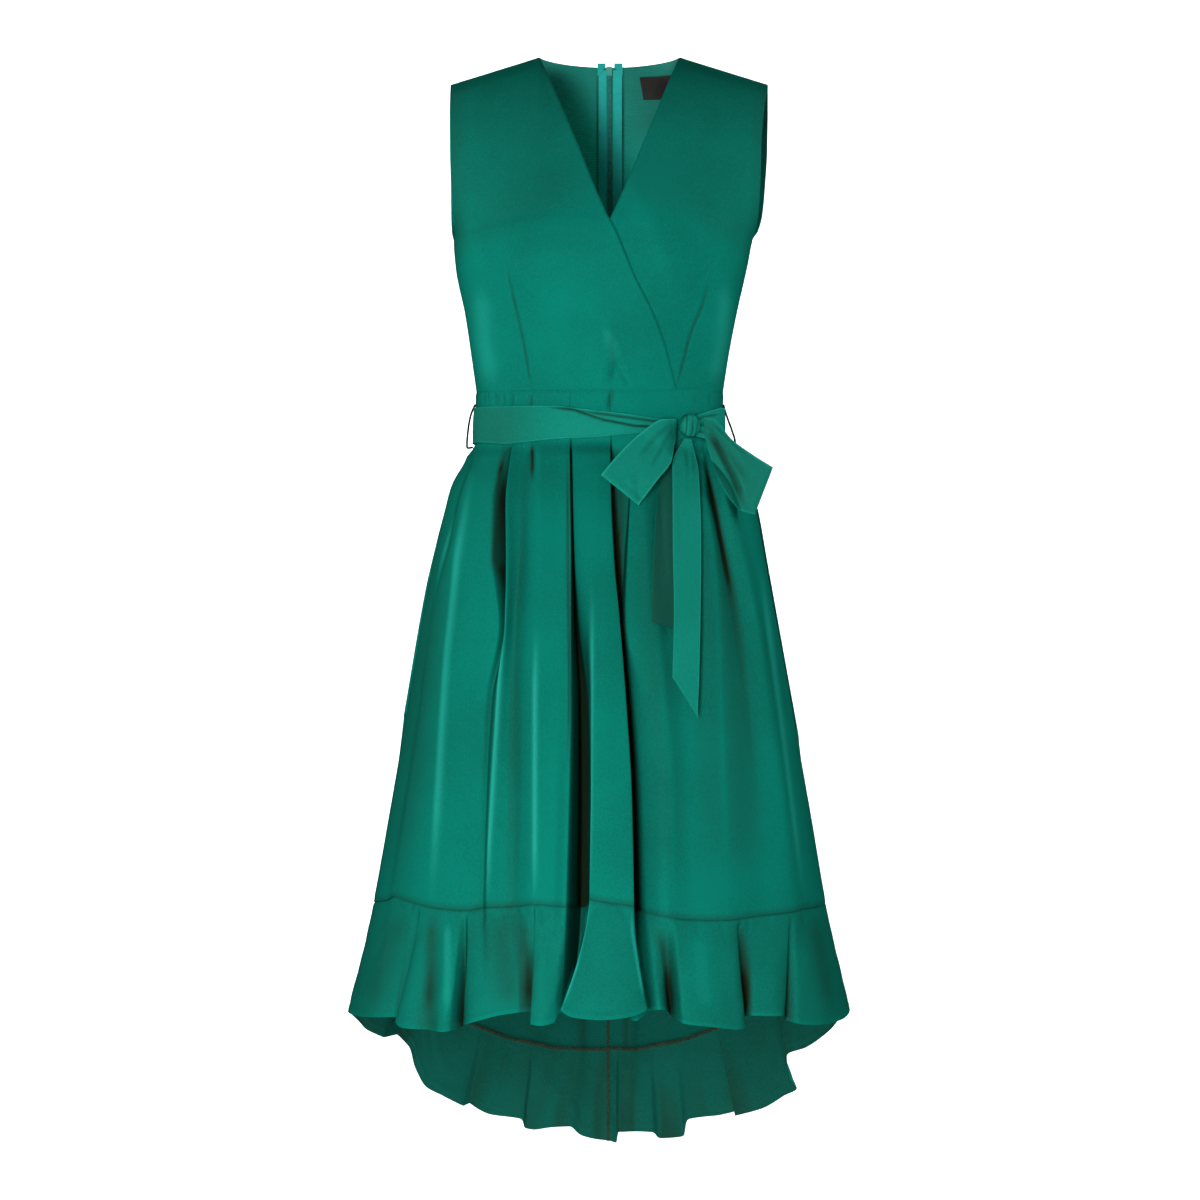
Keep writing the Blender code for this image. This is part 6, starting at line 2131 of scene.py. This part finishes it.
@dataclass
class Zip:
    """The closed zip inside the centre back: two tapes, the coil between them, the slider and its tab."""

    top: float = -0.0090
    bottom: float = -0.5300
    stand: float = 0.0021
    skirt_stand: float = 0.0028
    tapes: tuple = (("zip_tape_right", -0.0120, -0.0032), ("zip_tape_left", 0.0042, 0.0141))
    ends: tuple = (("tape_end_right", -0.0135, -0.0044, 1), ("tape_end_left", 0.0055, 0.0150, -1))
    end_top: float = -0.0012
    end_length: float = 0.0115
    end_drop: float = 0.0135
    coil: tuple = (-0.0014, 0.0026)
    pitch: float = 0.0013
    tooth_stand: float = 0.0004
    tooth_round: float = 0.0008
    tooth_height: float = 0.0003
    waist: float = -0.3760
    neck_drop: float = 0.006

    def back_y(self, x: Array, z: Array) -> Array:
        """The outside of the back near its centre seam.

        Args:
            x: Place across in metres.
            z: Height in metres.

        Returns:
            The y in metres.
        """
        top = -self.neck_drop
        t = np.clip((z - top) / (self.waist - top), 0, 1)
        above = BODICE.back_point(x, t)[..., 1]
        below = FORM.ring(FORM.angle(x, np.minimum(z, self.waist), Side.BACK), np.minimum(z, self.waist))[1]
        return np.where(z > self.waist, above, below + 0.0012)

    def strip(self, x0: float, x1: float, columns: int, rows: int, top: float, bottom: float) -> Array:
        """A strip just inside the back, facing the front of the dress.

        Args:
            x0: One side in metres.
            x1: The other side.
            columns: Points across.
            rows: Points down.
            top: Its upper end.
            bottom: Its lower end.

        Returns:
            The grid.
        """
        x = np.linspace(x0, x1, columns)[None, :]
        z = np.linspace(top, bottom, rows)[:, None]
        x, z = np.broadcast_arrays(x, z)
        stand = np.where(z > self.waist, self.stand, self.skirt_stand)
        return np.stack([x, self.back_y(x, z) - stand, z], axis=-1)

    def build(self, wardrobe: Wardrobe) -> None:
        """The tapes with their folded ends, and the coil's teeth. The slider and tab get their finish.

        Args:
            wardrobe: The finishes.
        """
        for node, x0, x1 in self.tapes:
            grid = self.strip(x0, x1, 12, 240, self.top, self.bottom)
            Sheet(f"{node}_cloth", grid, (node,), ("bodice_back_right",), held="stretched", thickness=0.0005,
                  materials=("tape", "tape"), slot=Slot.TAPE, depth=np.zeros(grid.shape[:2]),
                  declared=False).build(wardrobe)
        self.build_ends(wardrobe)
        self.build_teeth(wardrobe)
        for name in ("zip_slider", "zip_pull"):
            for slot in frame["nodes"][name].material_slots:
                slot.material = wardrobe["enamel"]

    def build_ends(self, wardrobe: Wardrobe) -> None:
        """The tapes' upper ends, folded over slantwise beside the slider.

        Args:
            wardrobe: The finishes.
        """
        for name, x0, x1, way in self.ends:
            grid = self.strip(x0, x1, 12, 12, self.end_top, self.end_top - self.end_length)
            across = np.linspace(0, 1, 12)[None, :]
            slant = across if way > 0 else 1 - across
            down = np.linspace(0, 1, 12)[:, None]
            grid[..., 2] = self.end_top - down * (self.end_drop * (1 - 0.75 * slant) + 0.0012)
            grid[..., 1] -= 0.0009 + 0.0005 * np.sin(math.pi * down) + 0 * across
            # Painted shade toward the top and bottom of each folded end.
            Sheet(name, grid, (), (), held="folded", thickness=0.0004, materials=("tape", "tape"),
                  slot=Slot.TAPE, depth=0.9 * np.abs(2 * down - 1) ** 3 + 0 * across,
                  declared=False).build(wardrobe)

    def build_teeth(self, wardrobe: Wardrobe) -> None:
        """The nylon coil: a sheet ridged into turns, each tooth crossing the middle.

        Args:
            wardrobe: The finishes.
        """
        rows = int((self.top - self.bottom) / self.pitch * 4)
        grid = self.strip(*self.coil, 7, rows, self.top - 0.0004, self.bottom)
        across = np.linspace(-1, 1, 7)[None, :]
        turns = (self.top - grid[..., 2]) / self.pitch * 2 * math.pi
        grid[..., 1] -= (self.tooth_stand + self.tooth_round * np.sqrt(1 - 0.92 * across**2)
                         + self.tooth_height * np.sin(turns + 1.2 * across))
        Sheet("zip_coil_teeth", grid, ("zip_coil",), (), thickness=0.0006, materials=("nylon", "nylon"),
              slot=Slot.COIL, depth=np.zeros(grid.shape[:2]), declared=False).build(wardrobe)


@dataclass
class Label:
    """A bare woven label inside the back of the neck."""

    x: tuple = (0.0340, 0.0790)
    top: float = -0.0175
    bottom: float = -0.0425
    stand: float = 0.0034

    def build(self, wardrobe: Wardrobe, zip_strip: Zip) -> None:
        """The label, its two ends slanting inward toward the bottom, with a slight curve across and a ripple.

        Args:
            wardrobe: The finishes.
            zip_strip: The zip that it lies beside.
        """
        grid = zip_strip.strip(*self.x, 40, 26, self.top, self.bottom)
        share = np.linspace(0, 1, 40)[None, :]
        lean = 0.0045 * (grid[..., 2] - self.top) / (self.bottom - self.top)
        grid[..., 0] += np.where(share < 0.5, lean, -lean) * np.abs(2 * share - 1)
        grid[..., 1] -= self.stand - zip_strip.stand - 0.0004 * np.sin(math.pi * share) + ripple(
            share, np.linspace(0, 1, 26)[:, None], 0.0003, 12)
        Sheet("neck_label_cloth", grid, ("neck_label",), ("bodice_back_left",), thickness=0.0004,
              materials=("label", "label"), slot=Slot.LABEL, depth=np.zeros(grid.shape[:2])).build(wardrobe)


@dataclass
class Seams:
    """Overlock threads on the cut edges inside: the centre-back seam and the flounce's seam."""

    width: float = 0.0030
    thick: float = 0.0005
    stand: float = 0.0013
    wander: float = 0.0006

    def centre_back(self, back: Array, name: str, shift: float, wardrobe: Wardrobe) -> None:
        """The overcast edge beside the centre-back seam.

        Args:
            back: The grid of the wall that it runs down.
            name: The piece's name.
            shift: How far it lies from the seam, in metres along x.
            wardrobe: The finishes.
        """
        middle = int(np.median(np.abs(back[:, :, 0]).argmin(axis=1)))
        line = back[:, middle] + np.array([0, -self.stand, 0])
        line[:, 0] = shift
        self.ribbon(name, line, np.array([1.0, 0.0, 0.0]), wardrobe)

    def ribbon(self, name: str, line: Array, across: Array, wardrobe: Wardrobe) -> None:
        """A narrow ribbon of overcast stitches along a line, seen from the front.

        Args:
            name: The name.
            line: Points along its middle.
            across: The direction of its width.
            wardrobe: The finishes.
        """
        count = 7
        share = np.linspace(0.5, -0.5, count)[None, :, None]
        grid = line[:, None, :] + share * self.width * np.asarray(across)
        bead = 0.0005 * np.sqrt(1 - (2 * np.linspace(-0.5, 0.5, count)) ** 2 * 0.95)
        length = np.concatenate([[0], np.cumsum(np.linalg.norm(np.diff(line, axis=0), axis=-1))])
        stitch = 0.00022 * np.abs(np.sin(length / 0.0022 * math.pi))
        grid[..., 1] -= bead[None, :] + stitch[:, None]
        Sheet(name, grid, (), (), thickness=self.thick, materials=("overlock", "overlock"),
              slot=Slot.THREAD, depth=np.zeros(grid.shape[:2]), declared=False).build(wardrobe)

    def flounce_seam(self, back: Array, wardrobe: Wardrobe) -> None:
        """The overcast seam between the skirt's back and its flounce, along the flounce's first row.

        Args:
            back: The grid of the back.
            wardrobe: The finishes.
        """
        row = back[0]
        keep = np.abs(row[:, 0]) < 0.235
        line = row[keep]
        length = np.concatenate([[0], np.cumsum(np.linalg.norm(np.diff(line, axis=0), axis=-1))])
        even = np.arange(0, length[-1], 0.0011)
        line = np.stack([np.interp(even, length, line[:, k]) for k in range(3)], axis=-1)
        line[:, 2] += self.wander * (np.sin(even / 0.0085) + 0.7 * np.sin(even / 0.0141 + 1.3))
        tangent = np.gradient(line, axis=0)
        tangent /= np.linalg.norm(tangent, axis=-1, keepdims=True)
        inward = np.stack([-tangent[:, 1], tangent[:, 0], 0 * tangent[:, 0]], axis=-1)
        inward /= np.linalg.norm(inward, axis=-1, keepdims=True)
        inward *= np.where(inward[:, 1:2] > 0, -1, 1)
        count = 7
        share = np.linspace(-0.5, 0.5, count)
        bead = self.stand + 0.0005 * np.sqrt(1 - (2 * share) ** 2 * 0.95)
        stitch = 0.00022 * np.abs(np.sin(even / 0.0022 * math.pi))
        grid = (line[:, None, :] + inward[:, None, :] * (bead[None, :] + stitch[:, None])[..., None]
                + np.array([0, 0, 1.0]) * (share * 1.3 * self.width + 0.0006)[None, :, None])
        Sheet("flounce_seam_overlock", grid, (), (), thickness=self.thick, materials=("overlock", "overlock"),
              slot=Slot.THREAD, depth=np.zeros(grid.shape[:2]), declared=False).build(wardrobe)

    def build(self, wardrobe: Wardrobe, skirt_back: Array, flounce_back: Array) -> None:
        """All the overcast edges that show inside.

        Args:
            wardrobe: The finishes.
            skirt_back: The skirt's back.
            flounce_back: The flounce's back.
        """
        self.flounce_seam(flounce_back, wardrobe)
        self.centre_back(flounce_back, "flounce_centre_overlock", -0.0011, wardrobe)
        below = skirt_back[skirt_back[:, 0, 2] < -0.545]
        self.centre_back(below, "skirt_centre_overlock", -0.0011, wardrobe)


# ---------------------------------------------------------------- studio


@dataclass(frozen=True)
class Lamp:
    """A soft rectangular lamp that faces a point of the dress."""

    name: str
    place: tuple
    aim: tuple
    size: tuple
    watts: float
    colour: tuple = (1.0, 1.0, 1.0)

    def build(self) -> None:
        """The lamp."""
        deselect()
        bpy.ops.object.light_add(type="AREA", location=self.place)
        lamp = bpy.context.object
        lamp.name = self.name
        lamp.data.shape = "RECTANGLE"
        lamp.data.size, lamp.data.size_y = self.size
        lamp.data.energy = self.watts
        lamp.data.color = self.colour
        away = np.array(self.aim, float) - np.array(self.place, float)
        level = math.hypot(away[0], away[1])
        lamp.rotation_euler = (math.atan2(level, -away[2]), 0, math.atan2(away[1], away[0]) - math.pi / 2)


@dataclass
class Studio:
    """The white sweep, the lamps and the camera."""

    floor_z: float = -1.45
    eye: tuple = (-0.0106, -6.0, -0.608)
    lens: float = 160.7
    sensor: float = 36.0
    sweep_back: float = 2.2
    sweep_front: float = -3.5
    sweep_half: float = 1.25
    sweep_top: float = 0.7
    sweep_radius: float = 0.9
    ambient: float = 0.14
    lamps: tuple = (
        Lamp("key", (-0.95, -4.0, -0.72), (0, 0, -0.60), (1.1, 1.5), 138),
        Lamp("fill", (1.9, -3.8, -0.6), (0, 0, -0.6), (1.2, 1.8), 4),
        Lamp("back_left", (-1.9, 0.7, 0.2), (0.3, 2.2, -0.6), (1.5, 1.5), 78),
        Lamp("back_right", (1.9, 0.7, 0.2), (-0.3, 2.2, -0.6), (1.5, 1.5), 78),
    )

    def build_sweep(self) -> None:
        """A pale floor that curves up into the backdrop."""
        turn = np.linspace(0, math.pi / 2, 24)
        y = np.concatenate([np.linspace(self.sweep_front, self.sweep_back - self.sweep_radius, 8)[:-1],
                            self.sweep_back - self.sweep_radius + self.sweep_radius * np.sin(turn),
                            np.full(7, self.sweep_back)])
        z = np.concatenate([np.full(7, self.floor_z), self.floor_z + self.sweep_radius * (1 - np.cos(turn)),
                            np.linspace(self.floor_z + self.sweep_radius, self.sweep_top, 8)[1:]])
        columns = 9
        deselect()
        bpy.ops.mesh.primitive_grid_add(x_subdivisions=columns - 1, y_subdivisions=len(y) - 1, size=1)
        sweep = bpy.context.object
        for vertex in sweep.data.vertices:
            row = round((vertex.co.y + 0.5) * (len(y) - 1))
            vertex.co = (vertex.co.x * 2 * self.sweep_half, y[row], z[row])
        made, tree, shader, coordinates = start_material("studio_paper")
        grain = noise(tree, coordinates.outputs["Object"], 4.0, 2.0)
        shade = calculate(tree, "MULTIPLY_ADD", grain, 0.01, 0.93)
        tree.links.new(shade, shader.inputs["Base Color"])
        shader.inputs["Roughness"].default_value = 0.95
        sweep.data.materials.append(made)
        sweep.data.shade_smooth()
        sweep.name = "studio_sweep"

    def build_world(self) -> None:
        """A plain white world at the ambient strength."""
        world = bpy.data.worlds.new("studio")
        world.use_nodes = True
        background = world.node_tree.nodes["Background"]
        background.inputs["Color"].default_value = (1.0, 1.0, 1.0, 1.0)
        background.inputs["Strength"].default_value = self.ambient
        bpy.context.scene.world = world

    def build_camera(self) -> None:
        """The camera, level and straight ahead of the dress."""
        deselect()
        bpy.ops.object.camera_add(location=self.eye, rotation=(math.pi / 2, 0, 0))
        camera = bpy.context.object
        camera.name = "camera"
        camera.data.lens = self.lens
        camera.data.sensor_width = self.sensor
        bpy.context.scene.camera = camera

    def build(self) -> None:
        """All of it."""
        self.build_sweep()
        self.build_world()
        for lamp in self.lamps:
            lamp.build()
        self.build_camera()
        bpy.context.scene.view_settings.view_transform = "Standard"


# ---------------------------------------------------------------- all together


def main() -> None:
    """Dresses the solids, then sets up the studio."""
    logging.basicConfig(level=logging.INFO, format="%(message)s")
    wardrobe = Wardrobe().build()
    BODICE.build(wardrobe)
    skirt = Skirt()
    hung_from = skirt.build(wardrobe)
    flounce_back = Flounce().build(wardrobe, hung_from)
    Sash().build(wardrobe)
    Knot().build(wardrobe)
    for loop in BOW_LOOPS:
        loop.build(wardrobe)
    for end in SASH_ENDS:
        end.build(wardrobe, skirt)
    ThreadLoops().build(wardrobe)
    zip_strip = Zip()
    zip_strip.build(wardrobe)
    Label().build(wardrobe, zip_strip)
    Seams().build(wardrobe, skirt.back_grid()[0], flounce_back)
    Studio().build()


if __name__ == "__main__":
    main()
